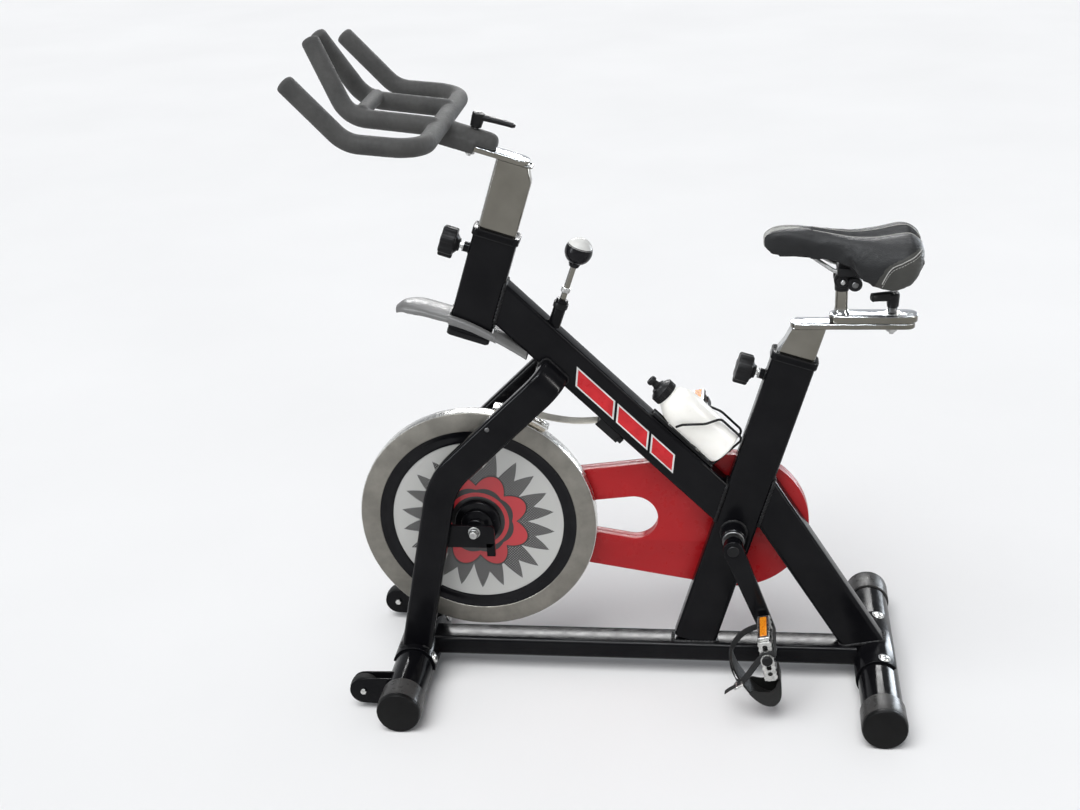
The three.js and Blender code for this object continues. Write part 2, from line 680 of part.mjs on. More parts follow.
// A cage pedal, hanging by the weight of its toe cage. In its own frame the toe points to -X and the
// foot's side is +Z; the whole is then turned so that the toe points down.
function buildPedal(side, name) {
  const angle = radians(CRANK.angle);
  const sign = side < 0 ? 1 : -1;
  const x = CRANK.x + sign * CRANK.arm * Math.sin(angle);
  const z = CRANK.z - sign * CRANK.arm * Math.cos(angle);
  const at = group([x, 0, z], -Math.PI / 2 - radians(PEDAL.tilt));
  const [y0, y1] = [side * PEDAL.inner, side * PEDAL.outer].sort((a, b) => a - b);
  const middle = (y0 + y1) / 2;
  const { toe, heel, half } = PEDAL;
  const frame = new THREE.Shape();
  frame.setFromPoints(roundedRectangle(toe + heel, y1 - y0, 8).getPoints(2));
  frame.holes.push(roundedRectangle(toe + heel - 8, y1 - y0 - 8, 4));
  const cage = prism(frame, -half, half).translate((heel - toe) / 2, middle, 0);
  const barrel = rodY(BARREL.radius, ...[side * BARREL.inner, side * BARREL.outer].sort((a, b) => a - b));
  const ribs = [y0 + 30, y1 - 34].map((y) => block(2 - toe, heel - 2, y, y + 4, 3 - half, half - 3));
  const bore = rodY(5.8, ...[side * 80, side * 203].sort((a, b) => a - b), 12);
  add(`pedal_${name}`, cut(join(cage, barrel, ...ribs), bore), steel, at);
  add(`toe_cage_${name}`, buildToeCage(middle), blackPlastic, at);
}

// The toe clip starts at the pedal's toe end, runs round the shoe's tip and ends on the strap, which
// passes below the pedal and over the foot.
function buildToeCage(middle) {
  const { toe, half } = PEDAL;
  const clip = [
    [-toe - 3.5, -half - 1],
    [-toe - 30, -half - 1],
    [-toe - 54, -5],
    [-toe - 63, 8],
    [-toe - 58, 24],
    [-toe - 38, 41],
    [-toe - 12, 57],
    [-toe + 14, 67],
    [-8, 68.9],
  ];
  const line = new THREE.CatmullRomCurve3(clip.map(([x, z]) => new THREE.Vector3(x, middle, z)));
  const strip = [[-1.5, -24], [1.5, -24], [1.5, 24], [-1.5, 24]];
  const toeClip = sweep(line.getPoints(12), strip, new THREE.Vector3(0, 0, 1));
  const low = -half - 4;
  const hoop = (grow) => {
    const [a, b, c] = [STRAP.half + grow, (STRAP.top - low) / 2 - STRAP.thickness / 2 + grow, 29 + grow / 2];
    const corner = 0.3 * c;
    return [[-a, -b], [a, -b], [a, b - c], [a - corner, b - corner], [a - c, b]]
      .concat([[c - a, b], [corner - a, b - corner], [-a, b - c]]);
  };
  const loop = polygon(hoop(STRAP.thickness));
  loop.holes.push(polygon(hoop(0)));
  const strap = prism(loop, -6, 6).rotateX(Math.PI / 2).rotateZ(Math.PI / 2);
  strap.translate(0, middle, (STRAP.top + low + STRAP.thickness) / 2);
  strap.applyMatrix4(new THREE.Matrix4().makeShear(0, 0, 0, 0, STRAP.lean, 0));
  return join(toeClip, strap.translate(STRAP.x, 0, 0));
}

// ------------------------------------------------------------------ handlebar

function buildHandlebarPost() {
  const rearEdge = [[35, -110], [35, 112], [22, ARM.top - 6], [22, ARM.top]];
  const outline = polygon([[-35, -110], ...rearEdge, [-35, ARM.top]]);
  const envelope = slab(outline, -40, 40);
  const tube = prism(tubeSection(POST.depth, POST.width, POST.corner, POST.wall), -110, ARM.top - 2);
  const arm = slottedArm(ARM.front, ARM.rear, ARM.slot, ARM.top - ARM.thickness, ARM.top);
  let solid = solidOf(tube).intersect(solidOf(envelope)).add(solidOf(arm));
  for (let v = -95; v <= 30; v += 25) {
    solid = cut(solid, rodX(5, -50, -20, 8).translate(0, 0, v));
  }
  add('handlebar_post', solid, chrome, headGroup);
}

// Four horns: the outer pair is one bent tube with the crossbar, the inner pair stands on the
// crossbar and is tied by a short link. A coated channel under the crossbar rides on the post's arm.
function buildHandlebar() {
  const outer = [
    [-231, -202, 1217],
    [-136.5, -202, 1114],
    [-13, -202, 1101],
    [-13, 202, 1101],
    [-136.5, 202, 1114],
    [-231, 202, 1217],
  ];
  const bar = pipe(roundedPath(outer, [60, 50, 50, 60], 4), BAR_RADIUS, 12, new THREE.Vector3(0, 1, 0));
  let solid = solidOf(bar);
  for (const side of [-1, 1]) {
    const inner = [
      [-230, side * 23, 1250],
      [-163, side * 66, 1125],
      [-15, side * 66, 1106],
    ];
    solid = solid.add(solidOf(pipe(roundedPath(inner, [60], 4), BAR_RADIUS, 12, new THREE.Vector3(0, 1, 0))));
  }
  const link = rodY(13, -62, 62, 12).translate(-141, 0, 1131);
  solid = solid.add(solidOf(link));
  // The channel, in the head's frame: a round top over the arm, and skirts beside its front part.
  const round = rodX(STEM.radius, STEM.front, STEM.rear, 24).translate(0, 0, STEM.v);
  const under = block(-200, 50, -40, 40, 100, ARM.top + GAP);
  const top = cut(solidOf(round), under);
  const skirts = block(STEM.front + 4, -75, -24, 24, ARM.top - ARM.thickness - 4, STEM.v);
  const arm = block(-300, 60, -ARM.width / 2 - 0.6, ARM.width / 2 + 0.6, 100, ARM.top + GAP);
  const boltHole = rodZ(5.3, 100, 300, 16).translate(STEM.bolt, 0, 0);
  const channel = cut(top.add(cut(solidOf(skirts), arm)), boltHole).transform(inHead.elements);
  add('handlebar', biggest(solid.add(channel)), foam);
}

// A clamp handle: a hub with an arm that tapers to its end. In its own frame it stands on z = 0.
function clampLever(length, hubHeight) {
  const hub = turned([[0, 0], [9, 0], [11, 4], [11, hubHeight - 3], [8, hubHeight], [0, hubHeight]], 16);
  hub.rotateX(Math.PI / 2);
  const plan = roundTwo(0, 0, 8.5, length - 6, 0, 6);
  const arm = prism(plan, hubHeight - 12, hubHeight - 2, 3);
  return join(hub, arm);
}

function clampBolt(low, nutHeight, high) {
  const nut = rodZ(10, low, low + nutHeight, 6);
  const shank = rodZ(5, low + 1, high, 16);
  return join(nut, shank);
}

function buildHandlebarClamp() {
  const at = group([STEM.bolt, 0, 0], 0, headGroup);
  const underside = ARM.top - ARM.thickness - GAP;
  add('handlebar_clamp_bolt', clampBolt(underside - 10, 10, STEM.v + STEM.radius + 0.5), steel, at);
  const lever = clampLever(66, 27).translate([0, 0, STEM.v + STEM.radius + 1]);
  add('handlebar_lever', lever, blackPlastic, at);
}

// ------------------------------------------------------------------ seat

function buildSeatPost() {
  const tube = prism(tubeSection(POST.depth, POST.width, POST.corner, POST.wall), 150, 470);
  let solid = solidOf(tube.applyMatrix4(inSeat));
  const frontEdge = [[588, SEAT_ARM.top - 2], [582, 712], [566, 684]];
  const outline = polygon([[480, 400], [700, 400], [700, SEAT_ARM.top - 2], ...frontEdge]);
  solid = solid.intersect(solidOf(slab(outline, -40, 40)));
  const { left, right, slot, bottom, top } = SEAT_ARM;
  solid = solid.add(solidOf(slottedArm(left, right, slot, bottom, top)));
  for (let v = 165.5; v <= 345; v += 25) {
    solid = cut(solid, rodX(5, -50, -20, 8).translate(0, 0, v).applyMatrix4(inSeat));
  }
  add('seat_post', solid, chrome);
}

// The slider carries the saddle's round post, which ends in a flat tongue for the saddle clamp.
function buildSlider() {
  const base = SEAT_ARM.top + GAP;
  const plan = roundedRectangle(SLIDER.right - SLIDER.left, ARM.width, 19);
  const plate = prism(plan, base, SLIDER.top, 5).translate((SLIDER.right + SLIDER.left) / 2, 0, 0);
  const post = rodZ(11, SLIDER.top - 1, SADDLE_PIVOT_Z - 18, 24).translate(SLIDER.post, 0, 0);
  const flare = turned([[0, 0], [15, 0], [11, 9], [0, 9]], 24).rotateX(Math.PI / 2);
  flare.translate(SLIDER.post, 0, SLIDER.top - 0.5);
  const tongue = slab(roundTwo(0, -20, 9, 0, 0, 10), -6, 6, 8).translate(SLIDER.post, 0, SADDLE_PIVOT_Z);
  const pivotHole = rodY(4.4, -20, 20, 16).translate(SLIDER.post, 0, SADDLE_PIVOT_Z);
  const boltHole = rodZ(5.3, 700, 800, 16).translate(SLIDER.bolt, 0, 0);
  add('saddle_slider', cut(join(plate, post, flare, tongue), pivotHole, boltHole), chrome);
}

function buildSeatClamp() {
  const at = group([SLIDER.bolt, 0, 0]);
  const underside = SEAT_ARM.bottom - GAP;
  add('seat_clamp_bolt', clampBolt(underside - 9, 9, SLIDER.top + 0.5), steel, at);
  const lever = clampLever(42, 30).rotate([0, 0, 200]).translate([0, 0, SLIDER.top + 8]);
  const neck = rodZ(6.5, SLIDER.top + 1, SLIDER.top + 9, 16);
  add('seat_lever', lever.add(solidOf(neck)), blackPlastic, at);
}

// The saddle's clamp holds the rails beside the tongue and turns on its pin, to tilt the saddle.
function buildSaddle() {
  const at = group([SLIDER.post, 0, SADDLE_PIVOT_Z]);
  const rail = roundedPath([
    [66, -25, 28],
    [38, -24, 19],
    [-14, -24, 19],
    [-52, -15, 43],
    [-52, 15, 43],
    [-14, 24, 19],
    [38, 24, 19],
    [66, 25, 28],
  ], [24, 30, 6, 6, 30, 24], 3);
  const across = new THREE.Vector3(0, 1, 0);
  const cheeks = [-17, 7].map((y) => slab(roundTwo(0, 0, 15, 8, 16, 9), y, y + 10, 5));
  const bridge = block(-11, 22, -30, 30, 11, 26);
  const pin = rodY(4, -27, 27, 12);
  const nuts = [-20, 17].map((y) => rodY(11, y, y + 3, 12));
  const clamp = join(...cheeks, bridge, pin, ...nuts);
  add('saddle_clamp', cut(clamp, pipe(rail, 3.5 + GAP, 8, across)), blackPlastic, at);
  add('saddle_rails', pipe(rail, 3.5, 8, across), steel, at);
  // Stations from nose to tail: x, half width, top, underside, how far the sides drop.
  const stations = [
    [530, 8, 888, 878],
    [536, 18, 900, 872],
    [550, 25, 908, 866],
    [580, 29, 908, 863],
    [620, 33, 900, 861],
    [660, 42, 893, 859],
    [700, 62, 888, 855],
    [735, 82, 890, 846],
    [765, 92, 895, 843],
    [790, 86, 897, 850],
    [804, 66, 892, 862],
    [811, 40, 884, 870],
  ];
  const rings = stations.map(([x, half, top, under]) => {
    const drop = Math.min(half * 0.38, 34);
    const side = [
      [0, top - 4],
      [half * 0.45, top],
      [half * 0.82, top - drop * 0.3],
      [half, top - drop],
      [half * 0.93, under - drop * 0.55],
      [half * 0.6, under - drop * 0.1],
    ];
    const other = side.slice(1).reverse().map(([y, z]) => [-y, z]);
    return [...side, [0, under], ...other].map(([y, z]) => new THREE.Vector3(x, y, z));
  });
  add('saddle', skin(rings), leather);
}

// ------------------------------------------------------------------ knobs and brake

// A lobed pull knob on a pin. In its own frame the pin points to +X and the tube's face is at x = 0.
function popPin() {
  const lobes = 7;
  const outline = Array.from({ length: lobes * 4 }, (_, i) => {
    const angle = (2 * Math.PI * i) / (lobes * 4);
    const radius = 26 + 2.5 * Math.cos(lobes * angle);
    return [radius * Math.cos(angle), radius * Math.sin(angle)];
  });
  const grip = prism(polygon(outline), -53, -27).rotateY(Math.PI / 2);
  const neck = turned([[0, -27.5], [20, -27.5], [12, -19], [0, -19]], 16).rotateZ(-Math.PI / 2);
  const pin = rodX(4.8, -25, 4.2, 16);
  return join(grip, neck, pin);
}

function buildPopPins() {
  const half = TUBE.depth / 2;
  const atHeadPin = group([0, 0, HEAD_PIN], 0, headGroup);
  add('pop_pin_front', popPin().translate([-half, 0, 0]), blackPlastic, atHeadPin);
  add('pop_pin_seat', popPin().translate([-half, 0, 0]), blackPlastic, group([0, 0, SEAT_PIN], 0, seatGroup));
}

function buildBrake() {
  const knobZ = 142;
  const knob = new THREE.SphereGeometry(24.5, 16, 10).rotateX(Math.PI / 2).translate(0, 0, knobZ);
  const rod = rodZ(5.6, -192, knobZ, 16);
  const ring = rodZ(8, 62, 70, 16);
  add('brake_knob', join(knob, rod, ring), blackPlastic, brakeGroup);
  // The shoe: a metal holder with a felt pad, curved like the rim it presses on.
  const from = radians(90 - BRAKE.padAngle - BRAKE.padHalfAngle);
  const to = radians(90 - BRAKE.padAngle + BRAKE.padHalfAngle);
  const clearance = 4.4;
  const shoe = new THREE.Shape();
  shoe.absarc(0, 0, FLYWHEEL.radius + 15, from, to, false);
  shoe.absarc(0, 0, FLYWHEEL.radius + clearance, to, from, true);
  shoe.closePath();
  const pad = slab(shoe, -13, 13, 5);
  add('brake_pad', pad, felt, group([FLYWHEEL.x, 0, FLYWHEEL.z]));
}

function buildStrap() {
  add('brake_strap', block(150, 231.5, -12.5, 12.5, 529.5, 532.5), webbing);
}

// ------------------------------------------------------------------ bottle

function buildBottle() {
  const at = group([0, 0, 0], 0, mainGroup);
  at.position.set(BOTTLE.offset, 0, 0);
  const { radius: r, bottom, shoulder, neck, cap, top } = BOTTLE;
  const body = turned([
    [0, bottom],
    [r - 5, bottom],
    [r, bottom + 5],
    [r, 70],
    [r - 3, 77],
    [r, 84],
    [r, shoulder],
    [r - 4, shoulder + 12],
    [22, neck - 5],
    [22, neck],
    [0, neck],
  ], 24).rotateX(Math.PI / 2);
  add('bottle', body, clearPlastic, at);
  const lid = turned([
    [0, neck + GAP],
    [24, neck + GAP],
    [24, neck + 14],
    [14, cap],
    [9.3, cap],
    [9.3, cap - 8],
    [0, cap - 8],
  ], 20).rotateX(Math.PI / 2);
  add('bottle_cap', lid, blackPlastic, at);
  const stem = [[0, cap - 7], [8.9, cap - 7], [8.9, cap + 4], [7, cap + 6], [7, top - 7]];
  const spout = turned([...stem, [9, top - 6], [9, top], [0, top]], 16);
  add('bottle_spout', spout.rotateX(Math.PI / 2), blackPlastic, at);
  const strip = block(-BOTTLE.offset + MAIN_DEPTH / 2 + GAP, -39, -12, 12, 0, 150);
  const wire = roundedPath([
    [-41, -9, 20],
    [-41, -9, 2.6],
    [41, -17, 2.6],
    [41, -17, 64],
    [64, 0, 112],
    [41, 17, 64],
    [41, 17, 2.6],
    [-41, 9, 2.6],
    [-41, 9, 20],
  ], [8, 8, 20, 8, 20, 8, 8], 3);
  const loop = pipe(wire, 2.4, 6, new THREE.Vector3(0, 1, 0));
  add('bottle_cage', join(strip, loop), blackPaint, at);
}

// ------------------------------------------------------------------ put together

const headGroup = group([HEAD.x, 0, HEAD.z], radians(HEAD.tilt));
const seatGroup = group([SEAT.x, 0, SEAT.z], radians(SEAT.tilt));
const mainGroup = group([MAIN.x, 0, MAIN.z], radians(MAIN.tilt));
const brakeGroup = group([BRAKE.x, 0, BRAKE.z], radians(BRAKE.tilt));

buildHeadTube();
buildSeatTube();
buildMainTube();
buildStrut();
buildRail();
buildForkLeg(-1, 'fork_leg_left');
buildForkLeg(1, 'fork_leg_right');
buildFootBracket('front_bracket', FRONT_FOOT_X, -12, 165);
buildFootBracket('rear_bracket', REAR_FOOT_X, 40, 215);
buildFoot('front_stabilizer', FRONT_FOOT_X, true);
buildFoot('rear_stabilizer', REAR_FOOT_X, false);
for (const [place, x] of [['front', FRONT_FOOT_X], ['rear', REAR_FOOT_X]]) {
  buildCap(`${place}_cap_left`, x, -1);
  buildCap(`${place}_cap_right`, x, 1);
}
buildTransportWheel('transport_wheel_left', -1);
buildTransportWheel('transport_wheel_right', 1);
buildBushing('head_bushing', headGroup, 0, HEAD_PIN);
buildBushing('seat_bushing', seatGroup, SEAT_TOP, SEAT_PIN);
buildHeadPlug();
buildSweatGuard();
buildFlywheel();
buildBelt();
buildGuardHalf('guard_inner', GUARD.inner, GUARD.seam - 0.5, 25, 27);
buildGuardHalf('guard_outer', GUARD.outer, GUARD.seam + 0.5, 22, 13);
buildBottomBracket();
buildCrank('crank_left', -1);
buildCrank('crank_right', 1);
buildPedal(-1, 'left');
buildPedal(1, 'right');
buildHandlebarPost();
buildHandlebar();
buildHandlebarClamp();
buildSeatPost();
buildSlider();
buildSeatClamp();
buildSaddle();
buildPopPins();
buildBrake();
buildStrap();
buildBottle();

export default bike;
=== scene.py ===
"""The looks of an indoor spin bike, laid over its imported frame.

Shapes are made in millimetres, x from the flywheel's centre, y from the bike's middle plane and z from the
floor, or in a leaning frame of one tube. A matrix, such as UPRIGHT or HEAD, takes them to the row's metres.
"""

import math
import random

import bmesh
import bpy
from mathutils import Matrix, Vector
from mathutils.bvhtree import BVHTree


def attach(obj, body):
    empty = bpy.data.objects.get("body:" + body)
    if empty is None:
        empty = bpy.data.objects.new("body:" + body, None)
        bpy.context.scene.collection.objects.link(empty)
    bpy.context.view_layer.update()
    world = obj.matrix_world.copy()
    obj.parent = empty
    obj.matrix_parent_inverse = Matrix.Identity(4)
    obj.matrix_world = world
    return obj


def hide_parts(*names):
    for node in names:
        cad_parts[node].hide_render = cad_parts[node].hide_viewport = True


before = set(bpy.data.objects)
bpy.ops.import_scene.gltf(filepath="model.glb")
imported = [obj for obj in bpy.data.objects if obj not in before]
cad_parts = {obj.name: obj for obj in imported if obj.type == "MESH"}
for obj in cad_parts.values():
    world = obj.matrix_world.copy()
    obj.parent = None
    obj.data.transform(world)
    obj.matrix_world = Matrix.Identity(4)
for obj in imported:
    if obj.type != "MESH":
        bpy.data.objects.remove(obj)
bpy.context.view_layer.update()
random.seed(7)

# ---------------------------------------------------------------- places and sizes, as in the frame

ORIGIN_X = 283.3


def leaning(x, z, tilt=0.0, y=0.0):
    """Takes millimetres in a leaning frame (X in the bike's plane, Y across, Z along) to the row."""
    start = Vector(((x - ORIGIN_X) / 1000, y / 1000, z / 1000))
    turn = Matrix.Rotation(math.radians(tilt), 4, "Y")
    return Matrix.Translation(start) @ turn @ Matrix.Scale(0.001, 4)


CRANK_X, CRANK_Z = 486.5, 315
CRANK_ANGLE = 21
CRANK_LENGTH = 175
PEDAL_Y = 150
PEDAL_TILT = 10.5  # degrees the cage hangs from level
AXLE_Z = 325
LEG_Y = 61
FRONT_X, REAR_X, FOOT_Z = -132, 759.5, 41.4
FOOT_RADIUS = 38
BRACKET_RADIUS = 42.2
ROLLER_X, ROLLER_Y = -213, 163.5
HEAD_PIN = -32.5  # along the head tube
SEAT_PIN = 315.5  # along the seat tube
PIN_PITCH = 25
BAR_BOLT = -84  # from the head tube's middle line
SLIDE_BOLT_X = 760
SHOE_RADIUS = 243
SHOE_ANGLE = 66.7
BAR_RADIUS = 16.3
SHIELD_FRONT, SHIELD_LENGTH, SHIELD_HALF = -124, 237, 35
CREASE = math.radians(32)  # edges that bend more than this stay sharp

UPRIGHT = leaning(0, 0)
HEAD = leaning(65.3, 889, 18)
SEAT = leaning(CRANK_X, CRANK_Z, 17)
MAIN = leaning(419, 419, -45)
STRUT = leaning(590.4, 304, -32)
BRAKE = leaning(164.4, 729, 19.6)
WHEEL = leaning(0, AXLE_Z)
CRANK = leaning(CRANK_X, CRANK_Z)
FRONT_FOOT = leaning(FRONT_X, FOOT_Z)
REAR_FOOT = leaning(REAR_X, FOOT_Z)
TO_MM = UPRIGHT.inverted()
WHEEL_CENTRE = (-ORIGIN_X / 1000, 0, AXLE_Z / 1000)

# ---------------------------------------------------------------- materials


class Look:
    """A Principled material under construction, with helpers for its procedural detail."""

    def __init__(self, name, colour, roughness, metallic=0.0, **settings):
        self.material = bpy.data.materials.new(name)
        self.material.use_nodes = True
        self.tree = self.material.node_tree
        self.shader = self.tree.nodes["Principled BSDF"]
        self.set("Base Color", (*colour, 1.0))
        self.set("Roughness", roughness)
        self.set("Metallic", metallic)
        for socket, value in settings.items():
            self.set(socket.replace("_", " "), value)

    def set(self, socket, value):
        self.shader.inputs[socket].default_value = value

    def node(self, kind, **settings):
        node = self.tree.nodes.new(kind)
        for key, value in settings.items():
            if key in node.inputs:
                node.inputs[key].default_value = value
            else:
                setattr(node, key, value)
        return node

    def link(self, source, target):
        self.tree.links.new(source, target)

    def coordinates(self, centre=(0, 0, 0), stretch=(1, 1, 1)):
        place = self.node("ShaderNodeMapping")
        place.inputs["Location"].default_value = [-c * s for c, s in zip(centre, stretch)]
        place.inputs["Scale"].default_value = stretch
        self.link(self.node("ShaderNodeTexCoord").outputs["Object"], place.inputs["Vector"])
        return place.outputs["Vector"]

    def noise(self, scale, detail=3.0, stretch=(1, 1, 1)):
        cloud = self.node("ShaderNodeTexNoise", Scale=scale, Detail=detail)
        self.link(self.coordinates(stretch=stretch), cloud.inputs["Vector"])
        return cloud.outputs["Fac"]

    def cells(self, scale):
        pattern = self.node("ShaderNodeTexVoronoi", Scale=scale)
        self.link(self.coordinates(), pattern.inputs["Vector"])
        return pattern.outputs["Distance"]

    def wave(self, scale, direction):
        bands = self.node("ShaderNodeTexWave", Scale=scale, bands_direction=direction)
        self.link(self.coordinates(), bands.inputs["Vector"])
        return bands.outputs["Fac"]

    def math(self, operation, *values):
        node = self.node("ShaderNodeMath", operation=operation)
        for socket, value in zip(node.inputs, values):
            if isinstance(value, (int, float)):
                socket.default_value = value
            else:
                self.link(value, socket)
        return node.outputs[0]

    def between(self, factor, low, high):
        """A value that goes from low to high as factor goes from 0.3 to 0.7."""
        node = self.node("ShaderNodeMapRange")
        node.inputs["From Min"].default_value = 0.3
        node.inputs["From Max"].default_value = 0.7
        node.inputs["To Min"].default_value = low
        node.inputs["To Max"].default_value = high
        self.link(factor, node.inputs["Value"])
        return node.outputs["Result"]

    def mix(self, factor, a, b):
        """A colour mixed from a to b, each a colour or a socket."""
        node = self.node("ShaderNodeMix", data_type="RGBA")
        for socket, value in ((node.inputs[0], factor), (node.inputs[6], a), (node.inputs[7], b)):
            if isinstance(value, (int, float)):
                socket.default_value = value
            elif isinstance(value, (tuple, list)):
                socket.default_value = (*value[:3], 1.0)
            else:
                self.link(value, socket)
        return node.outputs[2]

    def vary_colour(self, factor, a, b):
        self.link(self.mix(self.between(factor, 0, 1), a, b), self.shader.inputs["Base Color"])
        return self

    def vary_roughness(self, factor, low, high):
        self.link(self.between(factor, low, high), self.shader.inputs["Roughness"])
        return self

    def bump(self, height, strength, distance):
        node = self.node("ShaderNodeBump", Strength=strength, Distance=distance)
        self.link(height, node.inputs["Height"])
        before = self.shader.inputs["Normal"]
        if before.is_linked:
            self.link(before.links[0].from_socket, node.inputs["Normal"])
        self.link(node.outputs["Normal"], before)
        return self


def powder_coat():
    look = Look("gloss_black", (0.004, 0.004, 0.005), 0.2, Specular_IOR_Level=0.10)
    look.vary_colour(look.noise(14), (0.003, 0.003, 0.004), (0.007, 0.007, 0.008))
    look.vary_roughness(look.noise(60, 4), 0.12, 0.24)
    return look.bump(look.noise(750, 2), 0.04, 0.0003).material


def weld_metal():
    look = Look("weld", (0.01, 0.01, 0.011), 0.34, Specular_IOR_Level=0.12)
    look.vary_colour(look.noise(90), (0.007, 0.007, 0.008), (0.02, 0.02, 0.02))
    return look.bump(look.noise(340, 3), 0.6, 0.0012).material


def chrome():
    """Bright plating with a painted reflection in its colour: dark where its faces point sideways, as if
    reflecting a workshop floor, and bright where they face up.
    """
    look = Look("chrome", (0.5, 0.49, 0.47), 0.08, 1.0)
    parts = look.node("ShaderNodeSeparateXYZ")
    look.link(look.node("ShaderNodeTexCoord").outputs["Normal"], parts.inputs[0])
    painted_reflection_mask = look.node("ShaderNodeMapRange")
    painted_reflection_mask.inputs["From Min"].default_value = 0.1
    painted_reflection_mask.inputs["From Max"].default_value = 0.85
    look.link(parts.outputs["Z"], painted_reflection_mask.inputs["Value"])
    cloud = look.between(look.noise(9, 4), 0, 1)
    # Painted reflection: a dark colour for faces that point sideways and a bright one for faces that point
    # up, picked by each face's direction.
    sideways_painted_reflection = look.mix(cloud, (0.135, 0.128, 0.108), (0.21, 0.20, 0.175))
    level = look.mix(cloud, (0.58, 0.60, 0.62), (0.80, 0.82, 0.84))
    look.link(look.mix(painted_reflection_mask.outputs["Result"], sideways_painted_reflection, level), look.shader.inputs["Base Color"])
    look.vary_roughness(look.noise(45, 6), 0.05, 0.2)
    return look.bump(look.noise(260, 5, stretch=(1, 1, 6)), 0.05, 0.0003).material


def steel(name="zinc", colour=(0.5, 0.5, 0.49), roughness=0.35):
    look = Look(name, colour, roughness, 1.0)
    darker = tuple(0.6 * c for c in colour)
    look.vary_colour(look.noise(120, 5), darker, colour)
    look.vary_roughness(look.noise(300, 3), roughness - 0.1, roughness + 0.15)
    return look.bump(look.noise(900, 3), 0.15, 0.0002).material


def moulded(name="black_plastic", colour=(0.007, 0.007, 0.0075), roughness=0.36):
    look = Look(name, colour, roughness, Specular_IOR_Level=0.14)
    lighter = tuple(1.5 * c + 0.002 for c in colour)
    look.vary_colour(look.noise(30, 4), colour, lighter)
    look.vary_roughness(look.noise(90, 4), roughness - 0.08, roughness + 0.12)
    return look.bump(look.noise(1400, 2), 0.22, 0.0003).material


def grip_foam():
    look = Look("grip_foam", (0.045, 0.044, 0.042), 0.8, Sheen_Weight=0.08, Sheen_Roughness=0.5)
    look.set("Specular IOR Level", 0.3)
    look.vary_colour(look.noise(22, 5), (0.038, 0.0375, 0.036), (0.058, 0.057, 0.054))
    look.vary_roughness(look.noise(160, 3), 0.66, 0.86)
    look.bump(look.cells(900), 0.35, 0.0005)
    return look.bump(look.noise(260, 4), 0.12, 0.0008).material


def guard_red():
    look = Look("guard_red", (0.45, 0.010, 0.015), 0.3, Coat_Weight=0.05, Coat_Roughness=0.15)
    look.set("Specular IOR Level", 0.22)
    look.vary_colour(look.noise(6, 3), (0.38, 0.008, 0.011), (0.46, 0.011, 0.015))
    look.vary_roughness(look.noise(70, 5), 0.24, 0.42)
    return look.bump(look.noise(620, 3), 0.12, 0.0003).material


def visor_grey():
    look = Look("visor_grey", (0.27, 0.27, 0.275), 0.36, Specular_IOR_Level=0.35)
    look.vary_colour(look.noise(16, 4), (0.145, 0.145, 0.143), (0.19, 0.19, 0.186))
    look.vary_roughness(look.noise(120, 4), 0.28, 0.46)
    return look.bump(look.noise(1500, 2), 0.25, 0.0003).material


def lathe_turned(name, colour, centre, grooves, metallic=0.85, roughness=0.42):
    """Turned metal, whose fine marks circle the Y axis through a centre in the row's metres."""
    look = Look(name, colour, roughness, metallic)
    place = look.coordinates(centre)
    parts = look.node("ShaderNodeSeparateXYZ")
    look.link(place, parts.inputs[0])
    across = look.math("POWER", parts.outputs["X"], 2)
    up = look.math("POWER", parts.outputs["Z"], 2)
    radius = look.math("SQRT", look.math("ADD", across, up))
    marks = look.math("SINE", look.math("MULTIPLY", radius, grooves))
    darker = tuple(0.72 * c for c in colour)
    look.vary_colour(look.noise(26, 6), darker, colour)
    look.vary_roughness(look.noise(110, 5), roughness - 0.12, roughness + 0.14)
    look.bump(marks, 0.12, 0.0002)
    return look.bump(look.noise(420, 4), 0.2, 0.0003).material


